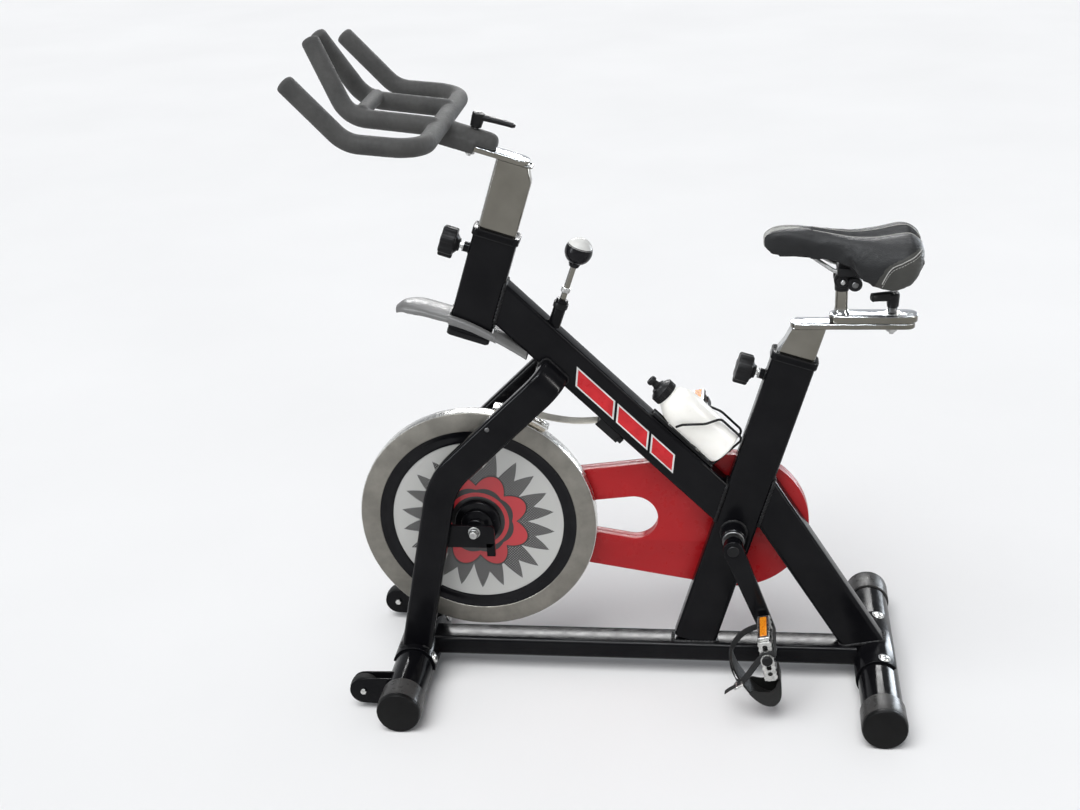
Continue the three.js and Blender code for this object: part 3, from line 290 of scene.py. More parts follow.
def sunburst():
    """The flywheel's printed disc: pale rays on a dotted dark ground, and a plain red ring."""
    look = Look("sunburst", (0.4, 0.4, 0.39), 0.34, Coat_Weight=0.4, Coat_Roughness=0.1)
    place = look.coordinates(WHEEL_CENTRE)
    parts = look.node("ShaderNodeSeparateXYZ")
    look.link(place, parts.inputs[0])
    across, up = parts.outputs["X"], parts.outputs["Z"]
    square = look.math("ADD", look.math("POWER", across, 2), look.math("POWER", up, 2))
    radius = look.math("MULTIPLY", look.math("SQRT", square), 1000)
    angle = look.math("ARCTAN2", up, across)
    turns = look.math("MULTIPLY", angle, 22 / math.pi)
    ray = look.math("PINGPONG", turns, 1.0)
    longer = look.math("PINGPONG", look.math("MULTIPLY", turns, 0.5), 1.0)
    inner = look.math("ADD", 96.0, look.math("MULTIPLY", ray, 44.0))
    inner = look.math("ADD", inner, look.math("MULTIPLY", longer, 17.0))
    pale = look.math("GREATER_THAN", radius, inner)
    dots = []
    for axis in (look.math("ADD", across, up), look.math("SUBTRACT", across, up)):
        dots.append(look.math("GREATER_THAN", look.math("SINE", look.math("MULTIPLY", axis, 1150)), 0.1))
    dotted = look.math("MULTIPLY", dots[0], dots[1])
    ground = look.mix(dotted, (0.022, 0.021, 0.021), (0.30, 0.295, 0.285))
    colour = look.mix(pale, ground, (0.50, 0.50, 0.48))
    lobes = look.math("ABSOLUTE", look.math("SINE", look.math("MULTIPLY", angle, 4.0)))
    reach = look.math("ADD", 74.0, look.math("MULTIPLY", lobes, 26.0))
    edge = look.math("ADD", reach, 3.5)
    colour = look.mix(look.math("LESS_THAN", radius, edge), colour, (0.012, 0.012, 0.012))
    colour = look.mix(look.math("LESS_THAN", radius, reach), colour, (0.50, 0.02, 0.028))
    gap = look.math("ADD", 66.0, look.math("MULTIPLY", lobes, 5.0))
    dark = look.math("MULTIPLY", look.math("LESS_THAN", radius, gap), look.math("GREATER_THAN", radius, 60))
    colour = look.mix(dark, colour, (0.012, 0.012, 0.012))
    colour = look.mix(look.math("LESS_THAN", radius, 52), colour, (0.012, 0.012, 0.012))
    look.link(colour, look.shader.inputs["Base Color"])
    look.vary_roughness(look.noise(90, 4), 0.28, 0.42)
    return look.bump(look.noise(500, 3), 0.08, 0.0002).material


def leatherette(name, colour, scale=520):
    look = Look(name, colour, 0.5, Sheen_Weight=0.03, Specular_IOR_Level=0.22)
    lighter = tuple(1.5 * c for c in colour)
    look.vary_colour(look.noise(18, 4), colour, lighter)
    look.vary_roughness(look.noise(130, 4), 0.42, 0.6)
    look.bump(look.cells(scale), 0.5, 0.0006)
    return look.bump(look.noise(1700, 2), 0.18, 0.0003).material


def woven(name, colour, pitch):
    """Webbing: two crossing sets of fine ribs."""
    look = Look(name, colour, 0.85)
    warp = look.wave(pitch, "X")
    weft = look.wave(pitch, "Y")
    both = look.math("MULTIPLY", warp, weft)
    darker = tuple(0.68 * c for c in colour)
    look.vary_colour(both, darker, colour)
    look.bump(both, 0.6, 0.0006)
    return look.bump(look.noise(800, 3), 0.3, 0.0003).material


def felt():
    look = Look("felt", (0.56, 0.50, 0.40), 0.95, Sheen_Weight=0.5)
    look.vary_colour(look.noise(240, 6), (0.42, 0.37, 0.29), (0.63, 0.57, 0.46))
    return look.bump(look.noise(900, 6), 0.8, 0.0008).material


def milky_bottle():
    # The emission is a painted glow: the bottle gives off light of its own, standing in for light through its
    # milky plastic.
    look = Look("milky_painted_glow", (0.9, 0.89, 0.85), 0.3, Subsurface_Weight=0.2, Emission_Strength=0.1)
    look.set("Emission Color", (1.0, 0.97, 0.90, 1))
    look.set("Subsurface Radius", (0.02, 0.02, 0.018))
    look.vary_colour(look.noise(14, 3), (0.84, 0.83, 0.78), (0.93, 0.92, 0.88))
    look.vary_roughness(look.noise(60, 3), 0.25, 0.42)
    return look.bump(look.noise(500, 3), 0.1, 0.0004).material


def reflector():
    # The emission is a painted glow: the reflector gives off orange light of its own, standing in for light
    # thrown back by its prisms.
    look = Look("reflector_orange_painted_glow", (0.85, 0.26, 0.01), 0.12, Coat_Weight=0.8, Emission_Strength=0.12)
    look.set("Emission Color", (1.0, 0.35, 0.02, 1))
    prisms = look.cells(330)
    look.vary_colour(prisms, (0.95, 0.36, 0.02), (0.60, 0.14, 0.005))
    return look.bump(prisms, 0.7, 0.0010).material


def pale_floor():
    look = Look("floor", (0.88, 0.88, 0.88), 0.95, Specular_IOR_Level=0.05)
    look.vary_colour(look.noise(1.2, 3), (0.865, 0.865, 0.865), (0.895, 0.895, 0.895))
    return look.bump(look.noise(60, 3), 0.02, 0.0006).material


BLACK = powder_coat()
WELD = weld_metal()
CHROME = chrome()
ZINC = steel()
BRIGHT = steel("bright_bolt", (0.72, 0.72, 0.70), 0.22)
DARK_STEEL = steel("dark_steel", (0.16, 0.16, 0.16), 0.4)
PLASTIC = moulded()
KNOB_BLACK = moulded("knob_black", (0.005, 0.005, 0.006), 0.2)
CAP_BAND = moulded("cap_band", (0.042, 0.041, 0.040), 0.3)
CAP_END = moulded("cap_end", (0.003, 0.003, 0.003), 0.4)
SILVER_PLASTIC = moulded("silver_plastic", (0.52, 0.52, 0.50), 0.3)
FOAM = grip_foam()
RED = guard_red()
VISOR = visor_grey()
CAST = lathe_turned("machined_iron", (0.25, 0.238, 0.21), WHEEL_CENTRE, 4200)
RIM = lathe_turned("polished_rim", (0.66, 0.655, 0.63), WHEEL_CENTRE, 2600, 1.0, 0.24)
GLOSS_RING = moulded("gloss_ring", (0.004, 0.004, 0.005), 0.16)
SUNBURST = sunburst()
LEATHER = leatherette("saddle_top", (0.0085, 0.0088, 0.0094))
GUSSET = leatherette("saddle_gusset", (0.040, 0.040, 0.036), 760)
NOSE_TRIM = leatherette("saddle_nose", (0.30, 0.30, 0.285), 760)
PIPING = woven("piping", (0.62, 0.61, 0.58), 700)
STRAP_CREAM = woven("cream_webbing", (0.80, 0.76, 0.66), 420)
STRAP_BLACK = woven("black_webbing", (0.008, 0.008, 0.0085), 420)
RUBBER = moulded("rubber", (0.016, 0.016, 0.016), 0.7)
FELT = felt()
MILKY_PAINTED_GLOW = milky_bottle()
ORANGE_PAINTED_GLOW = reflector()
ALLOY = steel("pedal_alloy", (0.62, 0.62, 0.60), 0.3)
TOE_PLASTIC = leatherette("toe_plastic", (0.012, 0.012, 0.0115), 260)
DECAL_RED = moulded("decal_red", (0.45, 0.02, 0.025), 0.3)
DECAL_WHITE = moulded("decal_white", (0.55, 0.55, 0.54), 0.3)

# ---------------------------------------------------------------- shapes, as (points, faces)


def rounded_rectangle(width, height, radius, steps=6):
    points = []
    centres = ((1, 1), (-1, 1), (-1, -1), (1, -1))
    for quarter, (sx, sy) in enumerate(centres):
        for k in range(steps + 1):
            angle = math.pi / 2 * (quarter + k / steps)
            x = sx * (width / 2 - radius) + radius * math.cos(angle)
            y = sy * (height / 2 - radius) + radius * math.sin(angle)
            points.append((x, y))
    return points


def circle(radius, sides=32, x=0.0, y=0.0):
    turn = 2 * math.pi / sides
    return [(x + radius * math.cos(turn * i), y + radius * math.sin(turn * i)) for i in range(sides)]


def skin(rings, closed=False):
    """Rings of equally many points, joined into one surface."""
    sides = len(rings[0])
    points = [tuple(p) for ring in rings for p in ring]
    faces = []
    count = len(rings) if closed else len(rings) - 1
    for i in range(count):
        j = (i + 1) % len(rings)
        for a in range(sides):
            b = (a + 1) % sides
            faces.append((i * sides + a, i * sides + b, j * sides + b, j * sides + a))
    if not closed:
        faces.append(tuple(reversed(range(sides))))
        faces.append(tuple(range((len(rings) - 1) * sides, len(rings) * sides)))
    return points, faces


def prism(outline, low, high):
    """An outline in X and Y, run along Z."""
    return skin([[(x, y, z) for x, y in outline] for z in (low, high)])


def plate(outline, holes, low, high, edge=0.6):
    """An outline with holes, in X and Y, run along Z, with rounded edges."""
    curve = bpy.data.curves.new("outline", "CURVE")
    curve.dimensions = "2D"
    curve.fill_mode = "BOTH"
    curve.extrude = (high - low) / 2 - edge
    curve.bevel_depth = edge
    curve.bevel_resolution = 2
    curve.offset = -edge
    for loop in [outline, *holes]:
        spline = curve.splines.new("POLY")
        spline.points.add(len(loop) - 1)
        for point, (x, y) in zip(spline.points, loop):
            point.co = (x, y, 0, 1)
        spline.use_cyclic_u = True
    shown = bpy.data.objects.new("outline", curve)
    mesh = bpy.data.meshes.new_from_object(shown)
    middle = (low + high) / 2
    points = [(v.co.x, v.co.y, v.co.z + middle) for v in mesh.vertices]
    faces = [tuple(p.vertices) for p in mesh.polygons]
    bpy.data.objects.remove(shown)
    bpy.data.curves.remove(curve)
    bpy.data.meshes.remove(mesh)
    return points, faces


def axes(part, order):
    """The part with its coordinates reordered: order "xzy" reads X, then Z, then Y of each point."""
    place = {"x": 0, "y": 1, "z": 2}
    points = [tuple(p[place[letter]] for letter in order) for p in part[0]]
    return points, part[1]


def slab(outline, low, high, holes=(), edge=0.6):
    """An outline in X and Z, with holes, run along Y."""
    return axes(plate(outline, holes, low, high, edge), "xzy")


def lathe(profile, sides=48, axis="y"):
    """A profile of (radius, height) turned round an axis; one that doesn't end on the axis is closed."""
    open_ended = profile[0][0] == 0 and profile[-1][0] == 0
    points, faces = [], []
    rows = []
    for radius, height in profile:
        if radius == 0:
            rows.append([len(points)] * sides)
            points.append((0, 0, height))
            continue
        rows.append([len(points) + i for i in range(sides)])
        points += [(x, y, height) for x, y in circle(radius, sides)]
    pairs = list(zip(rows, rows[1:]))
    if not open_ended:
        pairs.append((rows[-1], rows[0]))
    for lower, upper in pairs:
        for a in range(sides):
            b = (a + 1) % sides
            face = [lower[a], lower[b], upper[b], upper[a]]
            kept = [v for i, v in enumerate(face) if v != face[i - 1]]
            if len(kept) > 2:
                faces.append(tuple(kept))
    return axes((points, faces), {"z": "xyz", "y": "xzy", "x": "zxy"}[axis])


def rod(radius, low, high, axis="z", sides=32, edge=0.5):
    """A round bar along an axis, with chamfered ends."""
    return lathe([(0, low), (radius - edge, low), (radius, low + edge), (radius, high - edge),
                  (radius - edge, high), (0, high)], sides, axis)


def ball(radius, sides, rows, z):
    steps = [math.pi * k / rows for k in range(rows + 1)]
    profile = [(radius * math.sin(a) if 0 < k < rows else 0, z - radius * math.cos(a))
               for k, a in enumerate(steps)]
    return lathe(profile, sides, "z")


def box(x0, x1, y0, y1, z0, z1):
    return skin([[(x0, y0, z), (x1, y0, z), (x1, y1, z), (x0, y1, z)] for z in (z0, z1)])


def moved(part, x=0.0, y=0.0, z=0.0, turn=0.0, axis="Z"):
    """The part turned by degrees about an axis through its origin, then moved."""
    matrix = Matrix.Translation((x, y, z)) @ Matrix.Rotation(math.radians(turn), 4, axis)
    return [tuple(matrix @ Vector(p)) for p in part[0]], part[1]


def rounded_path(points, radii, steps=8):
    """Straight runs joined by arcs of the given radii."""
    corners = [Vector(p) for p in points]
    path = [corners[0]]
    for before, corner, after, radius in zip(corners, corners[1:], corners[2:], radii):
        a = (before - corner).normalized()
        b = (after - corner).normalized()
        half = a.angle(b) / 2
        middle = corner + (a + b).normalized() * (radius / math.sin(half))
        start = corner + a * (radius / math.tan(half)) - middle
        axis = b.cross(a).normalized()
        turn = math.pi - 2 * half
        for k in range(steps + 1):
            path.append(middle + Matrix.Rotation(turn * k / steps, 3, axis) @ start)
    path.append(corners[-1])
    return path


def sweep(path, section, across, closed=False, scales=None):
    """A section of (across, up) points carried along a path without twist."""
    path = [Vector(p) for p in path]
    count = len(path)
    rings = []
    across = Vector(across)
    last = None
    for i, point in enumerate(path):
        if closed:
            tangent = (path[(i + 1) % count] - path[i - 1]).normalized()
        else:
            tangent = (path[min(i + 1, count - 1)] - path[max(i - 1, 0)]).normalized()
        if last is None:
            across = (across - tangent * across.dot(tangent)).normalized()
        else:
            across = last.rotation_difference(tangent) @ across
        last = tangent
        up = tangent.cross(across)
        scale = scales[i] if scales else 1.0
        rings.append([point + across * (a * scale) + up * (b * scale) for a, b in section])
    return skin(rings, closed)


def pipe(path, radius, sides, across, round_ends):
    """A round tube along a path; round_ends is how far its domed ends stand out."""
    path = [Vector(p) for p in path]
    head = (path[0] - path[1]).normalized()
    tail = (path[-1] - path[-2]).normalized()
    lead, trail = [], []
    for k in range(1, 7):
        angle = math.pi / 2 * k / 6.4
        lead.append((path[0] + head * (round_ends * math.sin(angle)), math.cos(angle)))
        trail.append((path[-1] + tail * (round_ends * math.sin(angle)), math.cos(angle)))
    whole = [p for p, _ in reversed(lead)] + path + [p for p, _ in trail]
    scales = [s for _, s in reversed(lead)] + [1.0] * len(path) + [s for _, s in trail]
    return sweep(whole, circle(radius, sides), across, False, scales)


def round_two(x1, z1, r1, x2, z2, r2, steps=24):
    """The outline round two circles, as a belt runs round two pulleys."""
    distance = math.hypot(x2 - x1, z2 - z1)
    line = math.atan2(z2 - z1, x2 - x1)
    spread = math.acos((r1 - r2) / distance)
    points = []
    for k in range(steps + 1):
        angle = line + spread + (2 * math.pi - 2 * spread) * k / steps
        points.append((x1 + r1 * math.cos(angle), z1 + r1 * math.sin(angle)))
    for k in range(steps + 1):
        angle = line - spread + 2 * spread * k / steps
        points.append((x2 + r2 * math.cos(angle), z2 + r2 * math.sin(angle)))
    return points


def smooth_line(points, steps=6):
    """A smooth line through points."""
    points = [Vector(p) for p in points]
    line = []
    for i in range(len(points) - 1):
        p0, p1 = points[max(i - 1, 0)], points[i]
        p2, p3 = points[i + 1], points[min(i + 2, len(points) - 1)]
        for k in range(steps):
            t = k / steps
            line.append(0.5 * (2 * p1 + (p2 - p0) * t + (2 * p0 - 5 * p1 + 4 * p2 - p3) * t * t
                               + (3 * p1 - p0 - 3 * p2 + p3) * t ** 3))
    line.append(points[-1])
    return line


def sweep_flat(line, width, thick, across, closed):
    """A flat band along a line, its width kept along one direction."""
    across = Vector(across).normalized()
    rings = []
    count = len(line)
    for i, point in enumerate(line):
        if closed:
            tangent = line[(i + 1) % count] - line[i - 1]
        else:
            tangent = line[min(i + 1, count - 1)] - line[max(i - 1, 0)]
        tangent.normalize()
        side = (across - tangent * across.dot(tangent)).normalized()
        up = tangent.cross(side)
        rings.append([point + side * a + up * b for a, b in rounded_rectangle(width, thick, thick * 0.45, 3)])
    return skin(rings, closed)


def rounded_hole(x, z, width, height):
    return [(x + a, z + b) for a, b in rounded_rectangle(width, height, min(width, height) * 0.35, 4)]


def weld(points, radius=2.6):
    """A rippled bead of weld along a closed loop."""
    loop = []
    points = [Vector(p) for p in points]
    for a, b in zip(points, points[1:] + points[:1]):
        steps = max(1, round((b - a).length / 2.2))
        loop += [a.lerp(b, k / steps) for k in range(steps)]
    scales = [1.0 + 0.16 * math.sin(1.9 * i) + random.uniform(-0.05, 0.05) for i in range(len(loop))]
    return sweep(loop, circle(radius, 8), (0.3, 1, 0.2), True, scales)


def hexagon(across_flats, low, high, axis="z"):
    """A hexagonal nut or bolt head, with a turned chamfer on its outer end."""
    radius = across_flats / math.sqrt(3)
    shoulder = high - math.copysign(1.0, high - low)
    rings = []
    for height, scale in ((low, 1.0), (shoulder, 1.0), (high, 0.9)):
        rings.append([(x, y, height) for x, y in circle(radius * scale, 6)])
    return axes(skin(rings), {"z": "xyz", "y": "xzy", "x": "zxy"}[axis])


def carriage_bolt(radius=9.0, height=4.5, axis="z"):
    """A low domed bolt head, standing on 0."""
    profile = [(0, -1), (radius, -1), (radius, 0.6)]
    for k in range(1, 7):
        angle = math.pi / 2 * k / 6
        profile.append((radius * math.cos(angle) if k < 6 else 0, 0.6 + (height - 0.6) * math.sin(angle)))
    return lathe(profile, 32, axis)


# ---------------------------------------------------------------- pieces


def build(name, body, parts, nodes=()):
    """One piece from (shape, matrix, material) parts, riding on a body and standing for CAD nodes."""
    points, faces, indices, looks = [], [], [], []
    for (part_points, part_faces), where, look in parts:
        if look not in looks:
            looks.append(look)
        start = len(points)
        points.extend(where @ Vector(p) for p in part_points)
        faces.extend([start + i for i in face] for face in part_faces)
        indices.extend([looks.index(look)] * len(part_faces))
    mesh = bpy.data.meshes.new(name)
    mesh.from_pydata(points, [], faces)
    for look in looks:
        mesh.materials.append(look)
    mesh.polygons.foreach_set("material_index", indices)
    work = bmesh.new()
    work.from_mesh(mesh)
    bmesh.ops.remove_doubles(work, verts=work.verts, dist=2e-6)
    bmesh.ops.recalc_face_normals(work, faces=work.faces)
    for face in work.faces:
        face.smooth = True
    for edge in work.edges:
        if len(edge.link_faces) == 2 and edge.calc_face_angle(0) > CREASE:
            edge.smooth = False
    work.to_mesh(mesh)
    work.free()
    piece = bpy.data.objects.new(name, mesh)
    bpy.context.scene.collection.objects.link(piece)
    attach(piece, body)
    if nodes:
        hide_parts(*nodes)
    return piece


def rounded(outline, low, high, edge, steps=4):
    """An outline in X and Y, run along Z, with quarter-round ends, or with steps=1 chamfered ones."""
    cx = sum(p[0] for p in outline) / len(outline)
    cy = sum(p[1] for p in outline) / len(outline)
    widest = max(abs(p[0] - cx) for p in outline)
    tallest = max(abs(p[1] - cy) for p in outline)
    rings = []
    turns = [math.pi / 2 * k / steps for k in range(steps + 1)]
    levels = [(low + edge * (1 - math.cos(a)), edge * (1 - math.sin(a))) for a in turns]
    levels += [(high - edge * (1 - math.cos(a)), edge * (1 - math.sin(a))) for a in reversed(turns)]
    for z, inset in levels:
        kx, ky = 1 - inset / widest, 1 - inset / tallest
        rings.append([(cx + (x - cx) * kx, cy + (y - cy) * ky, z) for x, y in outline])
    return skin(rings)


def landing(section, where, start, end, depth):
    """Where each line of a tube first meets other metal; depth is negative inside it."""
    to_mm = TO_MM @ where
    points = []
    for x, y in section:
        a, b = to_mm @ Vector((x, y, start)), to_mm @ Vector((x, y, end))
        steps = 300
        for k in range(steps + 1):
            point = a.lerp(b, k / steps)
            if depth(point) < 0:
                break
        points.append(point)
    return points


def beside(where, x, sign):
    """A depth for landing: how far a point is outside a flat face at x of a leaning frame."""
    back = where.inverted() @ UPRIGHT
    return lambda point: sign * ((back @ point).x - x)


TUBE_SECTION = rounded_rectangle(80, 40, 8)
COLLAR_SECTION = rounded_rectangle(86, 46, 10)
MAIN_SECTION = rounded_rectangle(72, 40, 7)
STRUT_SECTION = rounded_rectangle(76, 40, 8)
POST_SECTION = rounded_rectangle(70, 30, 7)
LEG_SECTION = rounded_rectangle(58, 26, 8)


def at_rail(point):
    """A depth for landing: how far a point is outside the base rail or the rear bracket."""
    if point.x < 722:
        return point.z - 71.3
    return math.hypot(point.x - REAR_X, point.z - FOOT_Z) - BRACKET_RADIUS


def pin_boss(where, height):
    """The round boss that a pop pin runs in, and the weld round it."""
    ring = [(-40.4, y, height + z) for y, z in circle(9.8, 24)]
    return (moved(rod(9.5, -51, -38, "x"), z=height), where, BLACK), (weld(ring, 1.5), where, WELD)


# The frame's tubes, each with the welds at its ends.
rail = moved(axes(prism(rounded_rectangle(60, 40.3, 10), -102, 722), "zxy"), z=51.15)
build("base_rail_tube", "frame", [(rail, UPRIGHT, BLACK)], ["base_rail"])

seat_foot_weld = weld(landing(TUBE_SECTION, SEAT, -100, -270, at_rail), 3.4)
build("seat_tube_shell", "frame", [
    (prism(TUBE_SECTION, -253, 355.2), SEAT, BLACK),
    (rounded(COLLAR_SECTION, 355, 369, 2.4), SEAT, BLACK),
    *pin_boss(SEAT, SEAT_PIN),
    (seat_foot_weld, UPRIGHT, WELD),
], ["seat_tube"])

build("head_tube_shell", "frame", [
    (prism(TUBE_SECTION, -185.2, 0.2), HEAD, BLACK),
    (rounded(COLLAR_SECTION, 0, 14, 2.4), HEAD, BLACK),
    *pin_boss(HEAD, HEAD_PIN),
], ["head_tube"])
build("head_tube_plug", "frame", [(rounded(TUBE_SECTION, -198, -185.3, 3), HEAD, PLASTIC)], ["head_plug"])

main_ends = [landing(MAIN_SECTION, MAIN, 60, -120, beside(SEAT, -39.5, -1)),
             landing(MAIN_SECTION, MAIN, 380, 560, beside(HEAD, 39.5, 1))]
build("main_tube_shell", "frame", [
    (skin(main_ends), UPRIGHT, BLACK),
    (weld(landing(MAIN_SECTION, MAIN, 380, 560, beside(HEAD, 40.2, 1)), 3.2), UPRIGHT, WELD),
    (weld(landing(MAIN_SECTION, MAIN, 60, -120, beside(SEAT, -40.2, -1)), 3.2), UPRIGHT, WELD),
], ["main_tube"])
strut_ends = [[TO_MM @ STRUT @ Vector((x, y, -292)) for x, y in STRUT_SECTION],
              landing(STRUT_SECTION, STRUT, 20, 140, beside(SEAT, 39.5, 1))]
build("rear_strut_tube", "frame", [
    (skin(strut_ends), UPRIGHT, BLACK),
    (weld(landing(STRUT_SECTION, STRUT, 20, 140, beside(SEAT, 40.2, 1)), 3.2), UPRIGHT, WELD),
    (weld(landing(STRUT_SECTION, STRUT, -180, -320, at_rail), 3.2), UPRIGHT, WELD),
], ["rear_strut"])

shell_ring = [(x, -20.6, z) for x, z in circle(23.6, 48, CRANK_X, CRANK_Z)]
build("bottom_bracket_tube", "frame", [
    (rod(23, -54, 20.5, "y", 64, 1.2), CRANK, BLACK),
    (lathe([(12, -58), (19.5, -58), (20.5, -57), (20.5, -53.8), (12, -53.8)], 48, "y"), CRANK, DARK_STEEL),
    (weld(shell_ring, 3), UPRIGHT, WELD),
], ["bottom_bracket_shell"])

# A fork leg bends out from its crown, runs down and forward to the axle's height, then down to its foot.
CROWN = Vector((107.1, 0, 587.1))
down = Vector((-0.7193, 0, -0.6947))
for side, name in ((-1, "left"), (1, "right")):
    top = CROWN - down * 73
    path = []
    for k in range(11):
        angle = math.pi / 2 * k / 10
        point = top + down * (40 * (1 - math.cos(angle)))
        point.y = side * (LEG_Y - 40 + 40 * math.sin(angle))
        path.append(point)
    start = path.pop()
    path += rounded_path([start, (-54, side * LEG_Y, 431.6), (FRONT_X, side * LEG_Y, 55)], [150], 16)
    along = Vector((0, 1, 0)).cross(down)
    leg = sweep(path, LEG_SECTION, along)
    # The flywheel's axle is held by a plate on each leg.
    outline = [(-80, 292), (30, 292), (38, 300), (38, 332), (32, 338), (-70, 338)]
    y0, y1 = sorted((side * 50, side * 58))
    tab = box(22, 38, y0, y1, 274, 301)
    ring = [top + along * a * 1.02 + down * b * 1.02 + Vector((0, side * 21.2, 0)) for a, b in LEG_SECTION]
    foot = [Vector((FRONT_X + a, side * LEG_Y + b, 0)) for a, b in LEG_SECTION]
    foot_ring = []
    for p in foot:
        rise = math.sqrt(max(0.0, BRACKET_RADIUS ** 2 - (p.x - FRONT_X) ** 2))
        foot_ring.append(Vector((p.x, p.y, FOOT_Z + rise)))
    parts = [
        (leg, UPRIGHT, BLACK),
        (slab(outline, y0, y1, (), 0.8), UPRIGHT, BLACK),
        (tab, UPRIGHT, BLACK),
        (weld(ring, 2.6), UPRIGHT, WELD),
        (weld(foot_ring, 2.8), UPRIGHT, WELD),
        (moved(carriage_bolt(4.5, 3, "y"), 40, side * 74, 547, 90 - side * 90, "Z"), UPRIGHT, DARK_STEEL),
    ]
    build("fork_tube_" + name, "frame", parts, ["fork_leg_" + name])
    # The axle's end, its nut and the ring round it.
    axle_parts = [
        (rod(7.2, *sorted((side * 30, side * 72)), "y"), WHEEL, ZINC),
        (hexagon(18, side * 58.2, side * 66, "y"), WHEEL, DARK_STEEL),
        (rod(11.5, *sorted((side * 58.0, side * 60)), "y"), WHEEL, ZINC),
    ]
    build("axle_end_" + name, "frame", axle_parts, ["flywheel_axle"] if side < 0 else ())


def half_round(radius, inner, first, last, steps=40):
    """The outline of a curved strip between two angles in degrees."""
    turns = [math.radians(first + (last - first) * k / steps) for k in range(steps + 1)]
    out = [(radius * math.cos(a), radius * math.sin(a)) for a in turns]
    return out + [(inner * math.cos(a), inner * math.sin(a)) for a in reversed(turns)]


def at_foot(foot, angle, y, reach):
    """A frame on a stabilizer's surface, with Z pointing straight out of it."""
    turn = math.radians(angle)
    place = foot @ Matrix.Translation((reach * math.cos(turn), y, reach * math.sin(turn)))
    return place @ Matrix.Rotation(math.pi / 2 - turn, 4, "Y")


for name, foot, first, last, bolts in (
    ("front", FRONT_FOOT, -12, 165, ((20, -78), (20, 78))),
    ("rear", REAR_FOOT, 40, 215, ((76, -76), (76, 76))),
):
    bracket = slab(half_round(BRACKET_RADIUS, 38.2, first, last), -89, 89, (), 0.9)
    build(name + "_foot_bracket", "frame", [(bracket, foot, BLACK)], [name + "_bracket"])
    for index, (angle, y) in enumerate(bolts):
        build(f"{name}_foot_bolt_{index}", "frame", [
            (carriage_bolt(10, 5.2, "z"), at_foot(foot, angle, y, 42), BRIGHT),
            (rod(12, -0.4, 1.4, "z", 40), at_foot(foot, angle, y, 42), ZINC),
        ])
    parts = [(rod(FOOT_RADIUS, -190, 190, "y", 72, 0.5), foot, BLACK)]
    if name == "front":
        for side in (-1, 1):
            for y in (side * ROLLER_Y - 13.5, side * ROLLER_Y + 10):
                cheek = round_two(ROLLER_X - FRONT_X, 0, 27, 0, 0, 30)
                parts.append((slab(cheek, y, y + 3.5, (), 0.8), foot, BLACK))
            for turn in (0, 180):
                reach = 13.6 if turn == 0 else -13.6
                at = (ROLLER_X - FRONT_X, side * ROLLER_Y + reach, 0)
                bolt = moved(hexagon(11, 0, 4.5, "y"), *at, turn, "Z")
                parts.append((bolt, foot, BRIGHT))
    build(name + "_stabilizer_tube", "frame", parts, [name + "_stabilizer"])
    for side, hand in ((-1, "left"), (1, "right")):
        band = [(0, 0), (38.4, 0), (40.6, 0.4), (41.4, 1.4)]
        band += [(41.5, 12), (41.7, 30), (42.0, 47), (41.6, 49)]
        end = [(41.2, 49.4), (41.3, 51), (41.0, 55.5), (39.4, 58.2), (36.5, 58.8), (0, 58.8)]
        cap = []
        for profile, look in ((band + [(0, 49.2)], CAP_BAND), ([(0, 49.0)] + end, CAP_END)):
            shape = lathe(profile, 96, "y")
            points = [(px, side * (189.7 + py), max(pz, -41.35)) for px, py, pz in shape[0]]
            cap.append(((points, shape[1]), foot, look))
        build(f"{name}_foot_cap_{hand}", "frame", cap, [f"{name}_cap_{hand}"])

for side, hand in ((-1, "left"), (1, "right")):
    tread = [(6, -8.5), (24, -8.5), (26.6, -7.8), (28, -5.8), (28.3, 0), (28, 5.8), (26.6, 7.8), (24, 8.5),
             (6, 8.5)]
    at_roller = leaning(ROLLER_X, FOOT_Z, 0, side * ROLLER_Y)
    build("roller_" + hand, "transport_wheel_" + hand, [
        (lathe(tread, 64, "y"), at_roller, RUBBER),
        (lathe([(5, -9.4), (12, -9.4), (12, 9.4), (5, 9.4)], 32, "y"), at_roller, PLASTIC),
    ], ["transport_wheel_" + hand])

# ---------------------------------------------------------------- flywheel


def mirrored(profile):
    """A turned profile's twin on the flywheel's other side."""
    return [(radius, -height) for radius, height in profile]


face = [(190, 11), (190, 13.2), (190.8, 14), (225.6, 14), (226.6, 13.4), (227.0, 12.6), (227, 11.6)]
rim_edge = [(189, 11.8), (226.8, 11.8), (228.2, 11.2), (228.6, 10.0)]
groove = [(165, 9), (165.4, 10.9), (168, 12.0), (171, 12.3), (176, 11.0), (182, 11.0), (187, 13.4),
          (189.8, 13.6), (190.4, 12), (190.4, 9)]
disc = [(40, -8), (40, -10.0), (166, -10.0), (166, 10.0), (40, 10.0), (40, 8)]
hub = [(8.9, -44), (17.2, -44), (18, -43.2), (18.2, -33), (24, -30), (29, -28.6), (30, -27.6), (30.4, -21),
       (42, -20), (43.6, -18.6), (44, -16), (44, 16), (43.6, 18.6), (42, 20), (24, 21), (24, 43), (23, 43.8),
       (8.9, 43.8)]
wheel_parts = [
    (lathe(profile, sides, "y"), WHEEL, look) for profile, sides, look in (
        (mirrored(face), 180, CAST), (mirrored(rim_edge) + rim_edge[::-1], 180, RIM), (face, 180, CAST),
        (mirrored(groove), 180, GLOSS_RING), (groove, 180, GLOSS_RING), (disc, 160, SUNBURST),
        (hub, 96, GLOSS_RING))]
build("flywheel_disc", "flywheel", wheel_parts, ["flywheel"])

# ---------------------------------------------------------------- guard

guard_outline = round_two(CRANK_X, CRANK_Z, 141, 0, AXLE_Z, 68, 64)
guard_inset = round_two(CRANK_X, CRANK_Z, 138.4, 0, AXLE_Z, 65.4, 64)
window = round_two(298, 320, 45, 140, 324, 22, 32)
window_wall = round_two(298, 320, 47.4, 140, 324, 24.4, 32)


